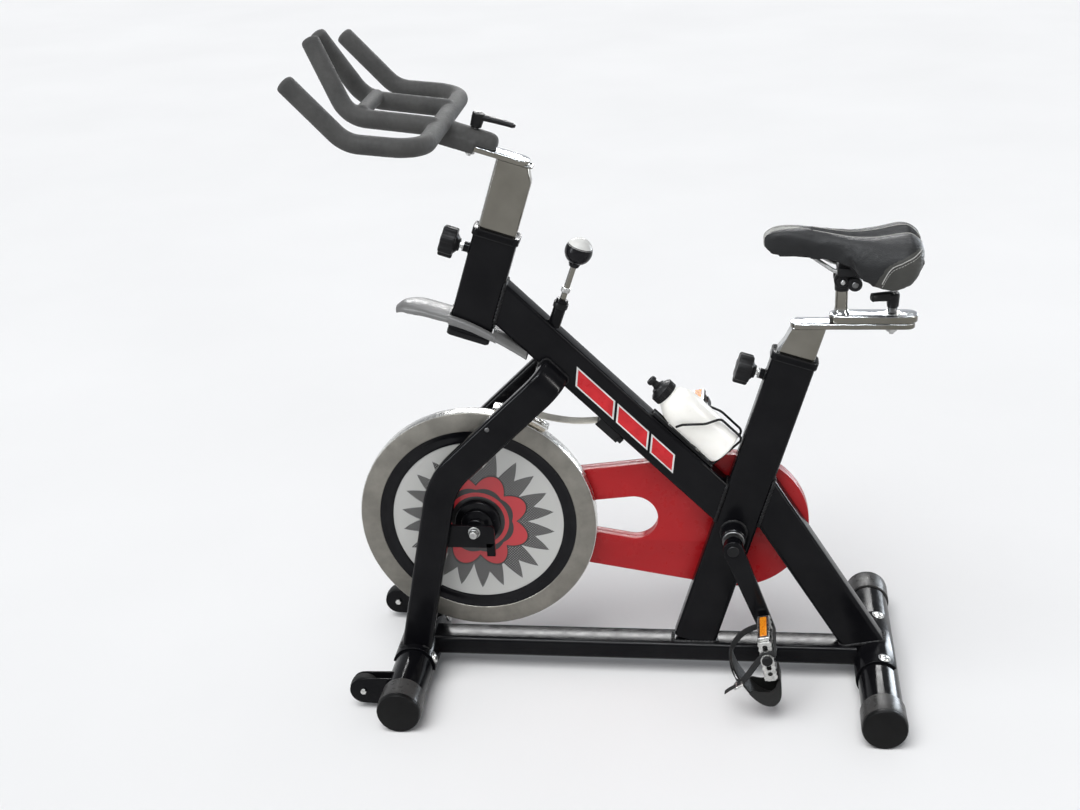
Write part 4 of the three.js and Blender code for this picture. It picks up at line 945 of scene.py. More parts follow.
def guard_half(face, seam, crank_hole, axle_hole):
    low, high = sorted((face, face + (2.5 if seam > face else -2.5)))
    holes = [window, circle(crank_hole, 48, CRANK_X, CRANK_Z), circle(axle_hole, 48, 0, AXLE_Z)]
    plate_part = slab(guard_outline, low, high, holes, 1.0)
    ring_low, ring_high = sorted((face + (1.2 if seam > face else -1.2), seam))
    rim = slab(guard_outline, ring_low, ring_high, [guard_inset], 0.5)
    wall = slab(window_wall, ring_low, ring_high, [window], 0.5)
    return [(plate_part, UPRIGHT, RED), (rim, UPRIGHT, RED), (wall, UPRIGHT, RED)]


build("guard_near_half", "frame", guard_half(22, 34.2, 25, 27), ["guard_inner"])
build("guard_far_half", "frame", guard_half(46.5, 34.8, 22, 13), ["guard_outer"])

# ---------------------------------------------------------------- cranks and pedals

crank_outline = round_two(0, 0, 19, 0, -CRANK_LENGTH, 15, 24)
for side, hand, turn in ((-1, "left", 0), (1, "right", 180)):
    where = leaning(CRANK_X, CRANK_Z, -(CRANK_ANGLE + turn))
    y0, y1 = sorted((side * 80, side * 94))
    arm = slab(crank_outline, y0, y1, [], 3.0)
    outer = side * 94
    axle_end = rod(9.5, *sorted((outer - side * 2, outer + side * 3)), "y", 40, 0.6)
    build("crank_arm_" + hand, "crank", [
        (arm, where, BLACK),
        (rod(18, *sorted((side * 70, side * 82)), "y", 48, 1), where, BLACK),
        (rod(11, *sorted((outer, outer + side * 2.2)), "y", 40, 1), where, PLASTIC),
        (moved(axle_end, z=-CRANK_LENGTH), where, DARK_STEEL),
    ], ["crank_" + hand])

CLIP_LINE = [(-51.5, -13), (-80, -13), (-104, -7.5), (-117, 6), (-113, 24), (-94, 42), (-66, 56.5),
             (-36, 66.5), (-10, 69.5)]
# The strap's line round the cage and over the foot, from the outer side across to the inner one.
STRAP_LINE = [(10, 48.6, -4), (7, 49, 8), (-8, 50, 24), (-28, 50.5, 42), (-39, 49, 54), (-40, 43, 61.5),
              (-37, 30, 67), (-31, 10, 71.2), (-25, -14, 72), (-18, -34, 68.5), (-9, -45, 59), (3, -48.8, 42),
              (11, -49, 20), (12, -48.6, 0), (12, -48.2, -11), (12, -43.6, -15.8), (11, 0, -16),
              (11, 43.6, -15.8), (10, 48.2, -11)]


def side_plate(y, thick):
    """A pedal's side plate, with teeth along both edges and three openings."""
    teeth = [(-45 + 80 * k / 16, -12.6 if k % 2 else -10.6) for k in range(17)]
    teeth += [(35 - 80 * k / 16, 12.6 if k % 2 else 10.6) for k in range(17)]
    holes = [circle(4.6, 20, -33, 0), rounded_hole(-18, 0, 13, 9), rounded_hole(22, 0, 13, 9)]
    return slab(teeth, *sorted((y, y - math.copysign(thick, y))), holes, 0.4)


def pedal(outer):
    parts = [(side_plate(y, 3), ALLOY) for y in (-46, 46)]
    for x in (-46.5, 34):
        bar = axes(rounded(rounded_rectangle(91, 17, 3), -1.6, 1.6, 0.6), "zxy")
        parts.append((moved(bar, x), ALLOY))
        for k in range(11):
            y = -41.5 + 8 * k
            tooth = box(x - 1.4, x + 1.4, y - 1.7, y + 1.7, 8, 12)
            parts.append((tooth, ALLOY))
    for y in (-18, 18):
        parts.append((box(-46, 34, y - 1.6, y + 1.6, -9, 9), PLASTIC))
    barrel = [(0, -52), (11.8, -52), (12.2, -51), (12.2, -38), (10, -34), (9.4, 0), (10, 34), (12.2, 38),
              (12.2, 51), (11.8, 52), (0, 52)]
    parts.append((lathe(barrel, 40, "y"), ALLOY))
    cover = lathe([(0, 51), (9.4, 51), (9.8, 52), (9.6, 55), (8, 56.4), (0, 56.8)], 40, "y")
    parts.append((moved(cover, turn=0 if outer > 0 else 180), PLASTIC))
    parts.append((rod(6.2, *sorted((-outer * 50, -outer * 68)), "y", 32), ZINC))
    # The reflector stands on the heel end in its holder.
    for width, height, corner, low, high, edge, look in (
        (74, 21, 3, 34, 39.6, 1.2, ALLOY), (65, 14, 2.2, 38.6, 40.2, 0.4, PLASTIC),
        (63, 12.5, 2, 39.6, 41.6, 0.7, ORANGE_PAINTED_GLOW),
    ):
        block = rounded(rounded_rectangle(width, height, corner), low, high, edge)
        parts.append((axes(block, "zxy"), look))
    return parts


def toe_clip():
    """A curved, ribbed tongue round the shoe's tip, closed at its sides by two cheeks."""
    spine = smooth_line([(x, 0, z) for x, z in CLIP_LINE], 8)
    count = len(spine) - 1
    rings = []
    for k, point in enumerate(spine):
        ahead = (spine[min(k + 1, count)] - spine[max(k - 1, 0)]).normalized()
        normal = Vector((-ahead.z, 0, ahead.x))
        wide = 2 * (21 + 4 * math.sin(math.pi * k / count))
        rings.append([point + Vector((0, a, 0)) + normal * (b - 2.2 * (a / 24) ** 2)
                      for a, b in rounded_rectangle(wide, 3.6, 1.7, 4)])
    parts = [(skin(rings), TOE_PLASTIC)]
    for k in range(6, count - 10, 4):
        ahead = (spine[k + 1] - spine[k - 1]).normalized()
        centre = spine[k] - Vector((-ahead.z, 0, ahead.x)) * 1.7
        rib = [centre + Vector((0, a, 0)) for a in (-19, -9, 0, 9, 19)]
        parts.append((pipe(rib, 1.2, 8, (0, 0, 1), 1.0), TOE_PLASTIC))
    outside = [(p.x, p.z) for p in spine[4:44]]
    inside = [(-78, 42), (-84, 26), (-86, 10), (-78, -2), (-66, -8)]
    for y in (-24, 24):
        parts.append((slab(outside + inside, y - 1.3, y + 1.3, (), 0.6), TOE_PLASTIC))
    return parts


def toe_strap(outer):
    line = smooth_line([(x, outer * y, z) for x, y, z in STRAP_LINE + STRAP_LINE[:1]], 5)[:-1]
    parts = [(sweep_flat(line, 12, 1.8, (1, 0, 0.25), True), STRAP_BLACK)]
    at = Vector((-42, outer * 52, 60))
    tail = smooth_line([at + Vector((2, -outer * 2, -2)), at + Vector((-2, outer * 2, 8)),
                        at + Vector((-6, outer * 3, 18)), at + Vector((-12, outer * 2, 27))], 6)
    parts.append((sweep_flat(tail, 11, 1.7, (0, 1, 0), False), STRAP_BLACK))
    frame_plate = plate(rounded_rectangle(20, 21, 3), [rounded_rectangle(12, 12, 1.5)], -1.6, 1.6, 0.7)
    turn = Matrix.Translation(at) @ Matrix.Rotation(math.radians(62), 4, "Y")
    parts.append((([tuple(turn @ Vector(p)) for p in frame_plate[0]], frame_plate[1]), ALLOY))
    bar = rod(2.2, -10, 10, "y", 20)
    parts.append((moved(bar, at.x - 1, at.y, at.z + 3), BRIGHT))
    return parts


for side, hand in ((-1, "left"), (1, "right")):
    turn = math.radians(CRANK_ANGLE + (0 if side < 0 else 180))
    across = CRANK_X + CRANK_LENGTH * math.sin(turn)
    height = CRANK_Z - CRANK_LENGTH * math.cos(turn)
    where = leaning(across, height, -90 - PEDAL_TILT, side * PEDAL_Y)
    body = "pedal_" + hand
    build("pedal_body_" + hand, body, [(p, where, look) for p, look in pedal(side)], ["pedal_" + hand])
    build("toe_clip_" + hand, body, [(p, where, look) for p, look in toe_clip()], ["toe_cage_" + hand])
    build("toe_strap_" + hand, body, [(p, where, look) for p, look in toe_strap(side)])

# ---------------------------------------------------------------- posts and their arms


def slotted_bar(left, right, low, high, slot):
    """A flat bar with rounded ends and a long slot, in X and Y, run along Z."""
    outline = [(x + (left + right) / 2, y) for x, y in rounded_rectangle(right - left, 40, 17, 10)]
    hole = [(x + (slot[0] + slot[1]) / 2, y) for x, y in rounded_rectangle(slot[1] - slot[0], 11, 3.4, 6)]
    return plate(outline, [hole], low, high, 1.6)


def post_column(low, rear):
    """A post's tube from low up; rear lists (height, half depth behind, half depth ahead) above that."""
    return skin([[(x * (ahead if x < 0 else back) / 35, y, z) for x, y in POST_SECTION]
                 for z, back, ahead in [(low, 35, 35), *rear]])


def painted_pin_hole_shade(where, lowest, count):
    """Dark discs up the front of a post: painted shade where the holes are that its pop pin drops into."""
    hole = rod(5.2, -35.4, -34.2, "x", 24, 0.2)
    return [(moved(hole, z=lowest + PIN_PITCH * k), where, GLOSS_RING) for k in range(count)]


build("bar_post", "handlebar_post", [
    (post_column(-110, [(112, 35, 35), (118, 34.4, 35), (138, 25, 35), (145, 22.4, 35)]), HEAD, CHROME),
    (slotted_bar(-140, 22, 144, 154, (-126, -42)), HEAD, CHROME),
    (weld([(x - 6.4 if x > 0 else x, y, 144) for x, y in POST_SECTION], 1.8), HEAD, CHROME),
] + painted_pin_hole_shade(HEAD, -85, 9), ["handlebar_post"])

# The seat post leans like its tube up to its bend, and ends level, cut back in front, under the arm.
lean = TO_MM @ SEAT
step = lean.to_3x3() @ Vector((0, 0, 1))
rings = [[lean @ Vector((x, y, 150)) for x, y in POST_SECTION]]
for level, front in ((684, None), (700, 576), (712, 582), (722.5, 588)):
    ring = []
    for x, y in POST_SECTION:
        foot_of = lean @ Vector((x, y, 0))
        point = foot_of + step * ((level - foot_of.z) / step.z)
        if front:
            point.x = max(point.x, front)
        ring.append(point)
    rings.append(ring)
build("saddle_post", "seat_post", [
    (skin(rings), UPRIGHT, CHROME),
    (slotted_bar(584, 800, 722, 732, (692, 788)), UPRIGHT, CHROME),
    (weld([(p.x, p.y, 722) for p in rings[-1]], 1.8), UPRIGHT, CHROME),
] + painted_pin_hole_shade(SEAT, 165.5, 8), ["seat_post"])

slider_outline = [(x + 727.5, y) for x, y in rounded_rectangle(153, 40, 19, 12)]
post_profile = [(0, 0), (16, 0), (15.4, 1.6), (13, 4), (11.6, 8), (11, 14), (11, 52), (10, 53), (0, 53)]
build("saddle_slide", "saddle_slider", [
    (plate(slider_outline, [], 732.3, 747, 2.6), UPRIGHT, CHROME),
    (moved(lathe(post_profile, 48, "z"), 671.5, 0, 747), UPRIGHT, CHROME),
], ["saddle_slider"])


def lever(hub, length, tall_end=5.4):
    """A clamp lever: a stepped hub with a tapering arm that rises a little towards its ball end."""
    profile = [(0, 0), (7, 0), (7, 1.5), (9.6, 1.5), (10.2, 2.4), (11.2, hub - 10), (11.4, hub - 2.4),
               (9.6, hub - 0.4), (6.2, hub), (0, hub)]
    body = lathe(profile, 40, "z")
    rings = []
    count = 14
    for k in range(count + 1):
        t = k / count
        x = 4 + (length - 4) * t
        wide = 8.6 - 2.6 * t + (1.6 * math.exp(-((t - 0.93) / 0.09) ** 2))
        tall = tall_end - 1.2 * t
        if k == count:
            wide, tall = wide * 0.55, tall * 0.55
        z = hub - 7 + 2.0 * math.sin(t * math.pi / 2)
        rings.append([(x, a * wide / 10, z + b * tall / 10) for a, b in rounded_rectangle(20, 20, 8)])
    screw = lathe([(0, hub - 1), (4.6, hub - 1), (4.6, hub + 0.8), (3.6, hub + 1.2), (0, hub + 1.2)], 24, "z")
    return body, skin(rings), screw


hub, arm, screw = lever(27, 66)
at_lever = HEAD @ Matrix.Translation((BAR_BOLT, 0, 181.5))
build("bar_lever", "handlebar_lever", [
    (hub, at_lever, PLASTIC), (arm, at_lever, PLASTIC), (screw, at_lever, DARK_STEEL),
], ["handlebar_lever"])
at_bolt = HEAD @ Matrix.Translation((BAR_BOLT, 0, 0))
build("bar_clamp_bolt", "handlebar", [
    (hexagon(17, 143.2, 134.2, "z"), at_bolt, ZINC),
    (rod(4.2, 130, 182, "z"), at_bolt, ZINC),
    (rod(9.5, 142.9, 143.5, "z"), at_bolt, BRIGHT),
], ["handlebar_clamp_bolt"])

hub, arm, screw = lever(28, 42, 8.6)
at_lever = leaning(SLIDE_BOLT_X, 757) @ Matrix.Rotation(math.radians(200), 4, "Z")
build("slide_lever", "seat_lever", [
    (hub, at_lever, PLASTIC), (arm, at_lever, PLASTIC), (screw, at_lever, DARK_STEEL),
    (rod(8.4, 748.6, 758, "z", 40), leaning(SLIDE_BOLT_X, 0), DARK_STEEL),
], ["seat_lever"])
build("slide_clamp_bolt", "saddle_slider", [
    (hexagon(17, 721.6, 712.6, "z"), leaning(SLIDE_BOLT_X, 0), ZINC),
    (rod(4.2, 708, 748, "z"), leaning(SLIDE_BOLT_X, 0), ZINC),
    (rod(14, 746.4, 748.2, "z", 40), leaning(SLIDE_BOLT_X, 0), BRIGHT),
], ["seat_clamp_bolt"])

# ---------------------------------------------------------------- pop pins

KNOB_LOBES = 7
for name, where, height in (("front", HEAD, HEAD_PIN), ("seat", SEAT, SEAT_PIN)):
    node = "pop_pin_" + name
    outline = []
    for k in range(KNOB_LOBES * 16):
        angle = 2 * math.pi * k / (KNOB_LOBES * 16)
        wave = math.cos(KNOB_LOBES * angle)
        radius = 26.2 + 2.7 * (abs(wave) ** 0.75) * (1 if wave > 0 else -1)
        outline.append((radius * math.cos(angle), radius * math.sin(angle)))
    grip = axes(rounded(outline, -93, -66.5, 3.6), "zxy")
    neck = lathe([(0, -67), (19.5, -67), (18.5, -65.5), (12.5, -61), (11.6, -58), (0, -58)], 40, "x")
    dimple = lathe([(0, -93.4), (11, -93.4), (12.5, -92.6), (12.5, -91), (0, -91)], 40, "x")
    shaft = rod(5.2, -60, -36, "x", 32)
    ring = lathe([(5, -52.6), (9.2, -52.6), (9.8, -52), (9.8, -50.6), (5, -50.6)], 40, "x")
    at = where @ Matrix.Translation((0, 0, height))
    build("pull_knob_" + name, node, [
        (grip, at, PLASTIC), (neck, at, PLASTIC), (dimple, at, PLASTIC), (shaft, at, BRIGHT),
        (ring, at, ZINC),
    ], [node])

# ---------------------------------------------------------------- brake

knob = []
shape = ball(25, 48, 32, 142)
for look, keep in ((KNOB_BLACK, lambda z: z <= 152.5), (SILVER_PLASTIC, lambda z: z > 152.5)):
    faces = [f for f in shape[1] if keep(sum(shape[0][v][2] for v in f) / len(f))]
    knob.append(((shape[0], faces), BRAKE, look))
seam = [(21.6, 151.6), (22.9, 152.0), (22.6, 153.2), (21.6, 153.6)]
neck = [(0, 112), (8.6, 112), (9.2, 113), (11.5, 120), (11.5, 124), (0, 124)]
nut = [(5, 61), (7.6, 61), (8.4, 62), (8.4, 70), (7.6, 71), (5, 71)]
knob += [
    (lathe(seam, 64, "z"), BRAKE, GLOSS_RING),
    (lathe(neck, 40, "z"), BRAKE, KNOB_BLACK),
    (rod(5.6, -190, 120, "z", 32), BRAKE, CHROME),
    (lathe(nut, 40, "z"), BRAKE, ZINC),
]
build("brake_handle", "brake_knob", knob, ["brake_knob"])
build("brake_boss", "frame", [
    (lathe([(6.2, -70), (11.5, -70), (11.5, 43), (11.0, 46), (9.6, 47), (6.2, 47)], 48, "z"), BRAKE, BLACK),
    (lathe([(6.2, 30), (13.2, 30), (13.6, 31), (13.6, 39), (13.2, 40), (6.2, 40)], 48, "z"), BRAKE, PLASTIC),
])


def on_shoe(angle):
    """A frame on the brake shoe's back, at an angle round the flywheel, with Z pointing out."""
    turn = Matrix.Rotation(math.radians(90 - angle), 4, "Y")
    return WHEEL @ turn @ Matrix.Translation((0, 0, SHOE_RADIUS))


holder = half_round(243.5, 239.5, SHOE_ANGLE - 13, SHOE_ANGLE + 13, 24)
pad = half_round(239.6, 232.9, SHOE_ANGLE - 12.4, SHOE_ANGLE + 12.4, 24)
parts = [(slab(holder, -13, 13, (), 0.6), WHEEL, BRIGHT), (slab(pad, -12, 12, (), 0.8), WHEEL, FELT)]
for angle in (SHOE_ANGLE - 9.5, SHOE_ANGLE + 9.5):
    parts.append((carriage_bolt(6.5, 4.5, "z"), on_shoe(angle), BRIGHT))
parts.append((rounded(rounded_rectangle(24, 22, 3), 0, 5.5, 1.2), on_shoe(SHOE_ANGLE), PLASTIC))
build("brake_shoe", "brake_pad", parts, ["brake_pad"])

strap_line = smooth_line([(66, 0, 560.5), (84, 0, 558), (112, 0, 549.5), (146, 0, 540), (180, 0, 534.5),
                          (208, 0, 533.4), (236, 0, 535.4)], 8)
build("brake_leaf", "frame", [
    (sweep_flat(strap_line[16:], 25, 3, (0, 1, 0), False), UPRIGHT, STRAP_CREAM),
    (box(-52, -36.4, -14, 14, 160, 212), MAIN, PLASTIC),
    (box(-47, -37, -16.5, 16.5, 154, 162), MAIN, PLASTIC),
], ["brake_strap"])

# ---------------------------------------------------------------- bottle and its cage

bottle = [(0, 8.4), (30, 8.4), (34.4, 9.4), (36.4, 12), (36.6, 20), (36.5, 40), (35.6, 46), (35.6, 54),
          (36.5, 60), (36.6, 108), (36.2, 122), (34.2, 132), (30.4, 141), (26, 148), (23.2, 152.4),
          (22.4, 155), (22.4, 158), (0, 158)]
at_bottle = MAIN @ Matrix.Translation((80.5, 0, 0))
build("bottle_body", "bottle", [(lathe(bottle, 72, "z"), at_bottle, MILKY_PAINTED_GLOW)], ["bottle"])
ridges = []
for k in range(160):
    angle = 2 * math.pi * k / 160
    radius = 24.2 if k % 4 < 2 else 23.4
    ridges.append((radius * math.cos(angle), radius * math.sin(angle)))
shoulder = [(0, 172), (23, 172), (21.5, 174.5), (16, 177.4), (13.6, 181), (11.2, 181.6), (0, 181.6)]
build("bottle_lid", "bottle", [
    (rounded(ridges, 158.4, 172.5, 1.0), at_bottle, PLASTIC),
    (lathe(shoulder, 64, "z"), at_bottle, PLASTIC),
], ["bottle_cap"])
spout = [(0, 176), (8.2, 176), (8.2, 184), (6.6, 187), (6.6, 191.4), (9.2, 193.6), (9.2, 198), (8, 200.4),
         (3.4, 200.8), (3, 199.6), (0, 199.6)]
build("bottle_valve", "bottle_spout", [(lathe(spout, 40, "z"), at_bottle, PLASTIC)], ["bottle_spout"])

cage = []
for side in (-1, 1):
    wire = [(-41, side * 9, 150), (-41, side * 9, 3), (41, side * 17, 3), (41, side * 17, 60),
            (22, side * 42, 80), (-8, side * 43, 108), (-20, side * 40, 112)]
    path = rounded_path(wire, [8, 10, 14, 16, 8], 8)
    cage.append((pipe(path, 2.3, 12, (0, 1, 0), 1.5), at_bottle, PLASTIC))
strip = rounded(rounded_rectangle(3, 24, 1.2), 0, 150, 0.8, 1)
cage.append((moved(strip, x=-42.2), at_bottle, PLASTIC))
for z in (40, 110):
    screw = moved(lathe([(0, -2), (5, -2), (5, 0.6), (4, 2), (0, 2.4)], 28, "x"), x=-41.0, z=z)
    cage.append((screw, at_bottle, ZINC))
build("bottle_wire", "frame", cage, ["bottle_cage"])

# ---------------------------------------------------------------- sweat guard

top_line = smooth_line([
    (x, 0, z) for x, z in ((SHIELD_FRONT, 762), (-107, 771), (-78, 770), (-47, 761), (-18, 752), (14, 739),
                           (51, 719), (79, 702), (113, 679))], 12)


def shield_part(first, last, inner=None):
    """The shield between two places along it: full width, or a strip on one side of the head tube."""
    rings = []
    for point in top_line:
        if not first <= point.x <= last:
            continue
        t = (point.x - SHIELD_FRONT) / SHIELD_LENGTH
        half = SHIELD_HALF * (math.sqrt(min(1.0, 0.12 + (t / 0.17) ** 0.9 * 0.88)) if t < 0.17 else 1)
        thick = (21 - 9 * t) * (0.62 + 3.8 * t if t < 0.1 else 1)
        ring = []
        for a, b in rounded_rectangle(2, 2, 0.82, 8):
            y = a * half
            if inner:
                y = inner * (20.4 + (SHIELD_HALF - 20.4) * (a + 1) / 2)
            sag = 2.4 * (y / SHIELD_HALF) ** 2
            ring.append((point.x, y, point.z - thick / 2 + b * thick / 2 - sag))
        rings.append(ring)
    return skin(rings), UPRIGHT, VISOR


build("sweat_shield", "frame", [
    shield_part(-125, -21), shield_part(-26, 60, -1), shield_part(-26, 60, 1), shield_part(53, 114),
], ["sweat_guard"])

# ---------------------------------------------------------------- grips

outer_path = rounded_path([(-226.4, -202, 1211.8), (-136.5, -202, 1114), (-13, -202, 1101), (-13, 202, 1101),
                           (-136.5, 202, 1114), (-226.4, 202, 1211.8)], [60, 50, 50, 60], 16)
foam = [(pipe(outer_path, BAR_RADIUS, 40, (0, 1, 0), 6), UPRIGHT, FOAM)]
for side in (-1, 1):
    corners = [(-227.6, side * 24, 1245.4), (-163, side * 66, 1125), (-15, side * 66, 1106)]
    inner_path = rounded_path(corners, [60], 16)
    foam.append((pipe(inner_path, BAR_RADIUS, 40, (0, 1, 0), 6), UPRIGHT, FOAM))
foam.append((moved(rod(13, -62, 62, "y", 40), -141, 0, 1131), UPRIGHT, FOAM))
channel_turns = [math.radians(-18 + 216 * k / 40) for k in range(41)]
channel = [(20 * math.cos(a), 160.5 + 20 * math.sin(a)) for a in channel_turns]
stem_rings = []
for u, shrink in ((-152, 0.94), (-146, 1.0), (-60, 1.0), (-50, 0.97), (-44, 0.88), (-40, 0.7), (-38.6, 0.45)):
    stem_rings.append([(u, y * shrink, 155.4 + (v - 155.4) * shrink) for y, v in channel])
foam.append((skin(stem_rings), HEAD, FOAM))
for side in (-1, 1):
    skirt = rounded(rounded_rectangle(74, 22, 4), *sorted((side * 20.7, side * 24.4)), 1.0)
    foam.append((moved(axes(skirt, "xzy"), -111.5, 0, 150.4), HEAD, FOAM))
grip = build("grips", "handlebar", foam, ["handlebar"])


def melt(piece, voxel, passes):
    """Joins overlapping shapes into one skin and softens its creases, as a dipped coating does."""
    remesh = piece.modifiers.new("join", "REMESH")
    remesh.mode = "VOXEL"
    remesh.voxel_size = voxel / 1000
    remesh.use_smooth_shade = True
    soften = piece.modifiers.new("soften", "SMOOTH")
    soften.factor = 0.5
    soften.iterations = passes
    baked = bpy.data.meshes.new_from_object(piece.evaluated_get(bpy.context.evaluated_depsgraph_get()))
    piece.modifiers.clear()
    piece.data = baked
    for polygon in piece.data.polygons:
        polygon.use_smooth = True


bpy.context.view_layer.update()
melt(grip, 2.4, 10)
grip.data.materials.clear()
grip.data.materials.append(FOAM)

# ---------------------------------------------------------------- saddle

# Places along the saddle: x, half its width, the height of its top, and of its underside.
STATIONS = [
    (530, 8, 889, 879), (533, 15, 896, 874), (538, 20, 902, 870), (550, 25.5, 908, 866), (565, 28, 909, 864),
    (580, 29, 908, 863), (600, 31, 904.5, 862), (620, 33.5, 900, 861), (640, 37.5, 896, 860),
    (660, 43, 892.5, 857), (680, 51.5, 889.5, 850), (700, 62, 889, 833), (720, 73, 890, 829),
    (735, 81, 892, 828), (750, 87.5, 895, 829), (765, 91, 898, 833), (780, 89.5, 899, 839),
    (790, 85, 896.5, 846), (798, 77, 894, 853), (804, 67, 891, 861), (808, 56, 887, 866), (811, 41, 882, 871),
]


def saddle_ring(x, half, top, under):
    drop = min(half * 0.38, 34)
    groove = 7.0 * max(0.0, min(1.0, (x - 590) / 110)) * max(0.0, min(1.0, (815 - x) / 10))
    side = [(0, top - 4 - groove), (half * 0.10, top - 3.2 - groove * 0.55), (half * 0.22, top - 1.2),
            (half * 0.45, top), (half * 0.66, top - drop * 0.10), (half * 0.82, top - drop * 0.30),
            (half * 0.94, top - drop * 0.62), (half, top - drop), (half * 1.0, top - drop * 1.25),
            (half * 0.97, (top - drop * 1.3 + under - drop * 0.55) / 2), (half * 0.93, under - drop * 0.55),
            (half * 0.86, under - drop * 0.52), (half * 0.76, under - drop * 0.3),
            (half * 0.6, under - drop * 0.08), (half * 0.3, under)]
    other = [(-y, z) for y, z in reversed(side[1:])]
    return [Vector((x, y, z)) for y, z in [*side, (0, under), *other]]


saddle_shape = skin([saddle_ring(*station) for station in STATIONS])
saddle = build("saddle_cover", "saddle", [(saddle_shape, UPRIGHT, LEATHER)], ["saddle"])


def inflate(piece, voxel, pressure, frames, cap, start_inset):
    """Swells a piece as foam under a stretched cover does, by a short cloth simulation."""
    remesh = piece.modifiers.new("even", "REMESH")
    remesh.mode = "VOXEL"
    remesh.voxel_size = voxel / 1000
    bpy.context.view_layer.update()
    even = bpy.data.meshes.new_from_object(piece.evaluated_get(bpy.context.evaluated_depsgraph_get()))
    piece.modifiers.clear()
    work = bmesh.new()
    work.from_mesh(even)
    for _ in range(2):
        bmesh.ops.smooth_vert(
            work, verts=work.verts, factor=0.5, use_axis_x=True, use_axis_y=True, use_axis_z=True)
    work.normal_update()
    for vertex in work.verts:
        vertex.co -= vertex.normal * (start_inset / 1000)
    work.to_mesh(even)
    work.free()
    piece.data = even
    starts = [vertex.co.copy() for vertex in even.vertices]
    cloth = piece.modifiers.new("swell", "CLOTH")
    settings = cloth.settings
    settings.quality = 6
    settings.mass = 0.3
    settings.tension_stiffness = 25
    settings.compression_stiffness = 25
    settings.shear_stiffness = 12
    settings.bending_stiffness = 2
    settings.use_pressure = True
    settings.uniform_pressure_force = pressure
    settings.effector_weights.gravity = 0
    cloth.collision_settings.use_collision = False
    scene = bpy.context.scene
    for number in range(1, frames + 1):
        scene.frame_set(number)
    swollen = bpy.data.meshes.new_from_object(piece.evaluated_get(bpy.context.evaluated_depsgraph_get()))
    piece.modifiers.clear()
    piece.data = swollen
    scene.frame_set(1)
    for vertex, start in zip(piece.data.vertices, starts):
        shift = vertex.co - start
        if shift.length > cap / 1000:
            vertex.co = start + shift.normalized() * (cap / 1000)


inflate(saddle, voxel=5, pressure=4, frames=20, cap=5, start_inset=2.2)
round_off = saddle.modifiers.new("smooth", "SUBSURF")
round_off.levels = 1
round_off.render_levels = 1
bpy.context.view_layer.update()
saddle_mesh = bpy.data.meshes.new_from_object(saddle.evaluated_get(bpy.context.evaluated_depsgraph_get()))
saddle.modifiers.clear()
saddle.data = saddle_mesh
saddle_mesh.materials.clear()
for look in (LEATHER, GUSSET, NOSE_TRIM):
    saddle_mesh.materials.append(look)

TRIM_END = 602
GUSSET_START = 718
GUSSET_EDGE = [(GUSSET_START, 815), (723, 826), (729, 838), (737, 853), (745, 862), (757, 869.5),
               (769, 875), (783, 881), (797, 887), (812, 892)]


def gusset_edge(x):
    """The height where the grey rear panel starts, at a place along the saddle."""
    for (x0, z0), (x1, z1) in zip(GUSSET_EDGE, GUSSET_EDGE[1:]):
        if x0 <= x <= x1:
            return z0 + (z1 - z0) * (x - x0) / (x1 - x0)
    return 0.0 if x < GUSSET_START else 892.0


def nose_half(x):
    """Half the width of the pale nose trim, at a place along the saddle."""
    return 10 * math.sqrt(max(0.0, TRIM_END - x) / 60)


for polygon in saddle_mesh.polygons:
    centre = TO_MM @ polygon.center
    polygon.use_smooth = True
    outward = abs(polygon.normal.y) > 0.2 or polygon.normal.x > 0.3
    below = centre.z < gusset_edge(centre.x) and centre.x > GUSSET_START
    trim = centre.x < TRIM_END and abs(centre.y) < nose_half(centre.x) and centre.z > 868
    polygon.material_index = 1 if below and outward else 2 if trim and polygon.normal.z > -0.4 else 0

saddle_tree = BVHTree.FromPolygons([TO_MM @ v.co for v in saddle_mesh.vertices],
                                   [tuple(p.vertices) for p in saddle_mesh.polygons])


def onto_saddle(point, lift=0.0):
    place, normal, _, _ = saddle_tree.find_nearest(Vector(point))
    return place + normal * lift


def evened(line):
    """The line with its small kinks smoothed out and its ends kept."""
    for _ in range(3):
        line[1:-1] = [(a + b * 2 + c) / 4 for a, b, c in zip(line, line[1:], line[2:])]
    return line


def stitches(line, pitch, length, radius):
    """Short threads along a line on the saddle."""
    parts = []
    travelled, due = 0.0, 0.0
    for a, b in zip(line, line[1:]):
        run = (b - a).length
        while due <= travelled + run and run > 0:
            centre = a.lerp(b, (due - travelled) / run)
            way = (b - a).normalized() * (length / 2)
            parts.append(pipe([centre - way, centre, centre + way], radius, 6, (0.3, 0.2, 1), 0.3))
            due += pitch
        travelled += run
    return parts


seams = []
for side in (-1, 1):
    # The rear panel's edge.
    line = [(x, side * 100, z) for x, z in GUSSET_EDGE[1:-2]] + [(800, side * 82, 887), (808, side * 62, 889)]
    edge = evened([onto_saddle(p, 0.35) for p in smooth_line(line, 4)])
    seams.append((pipe(edge, 0.9, 8, (0, 0, 1), 0.4), UPRIGHT, PIPING))
    inner = evened([onto_saddle(p + Vector((1.2, 0, -4.5)), 0.25) for p in edge])
    seams += [(stitch, UPRIGHT, PIPING) for stitch in stitches(inner, 5.2, 3.2, 0.45)]
    # The upper edge of the rear wings, seen from the side as a thin light line.
    wing = [onto_saddle((x, side * half * 0.26, top + 6), 0.3) for x, half, top, _ in STATIONS[7:]]
    seams.append((pipe(smooth_line(wing, 3), 0.85, 8, (0, 0, 1), 0.4), UPRIGHT, PIPING))
for side in (-1, 1):
    nose = [onto_saddle((x, side * nose_half(x), z), 0.3) for x, z in (
        (TRIM_END, 904), (590, 908), (575, 910), (560, 911), (548, 908), (539, 901), (533, 891), (531, 880),
        (532, 871))]
    seams.append((pipe(smooth_line(nose, 3), 0.8, 8, (0, 1, 0), 0.4), UPRIGHT, PIPING))
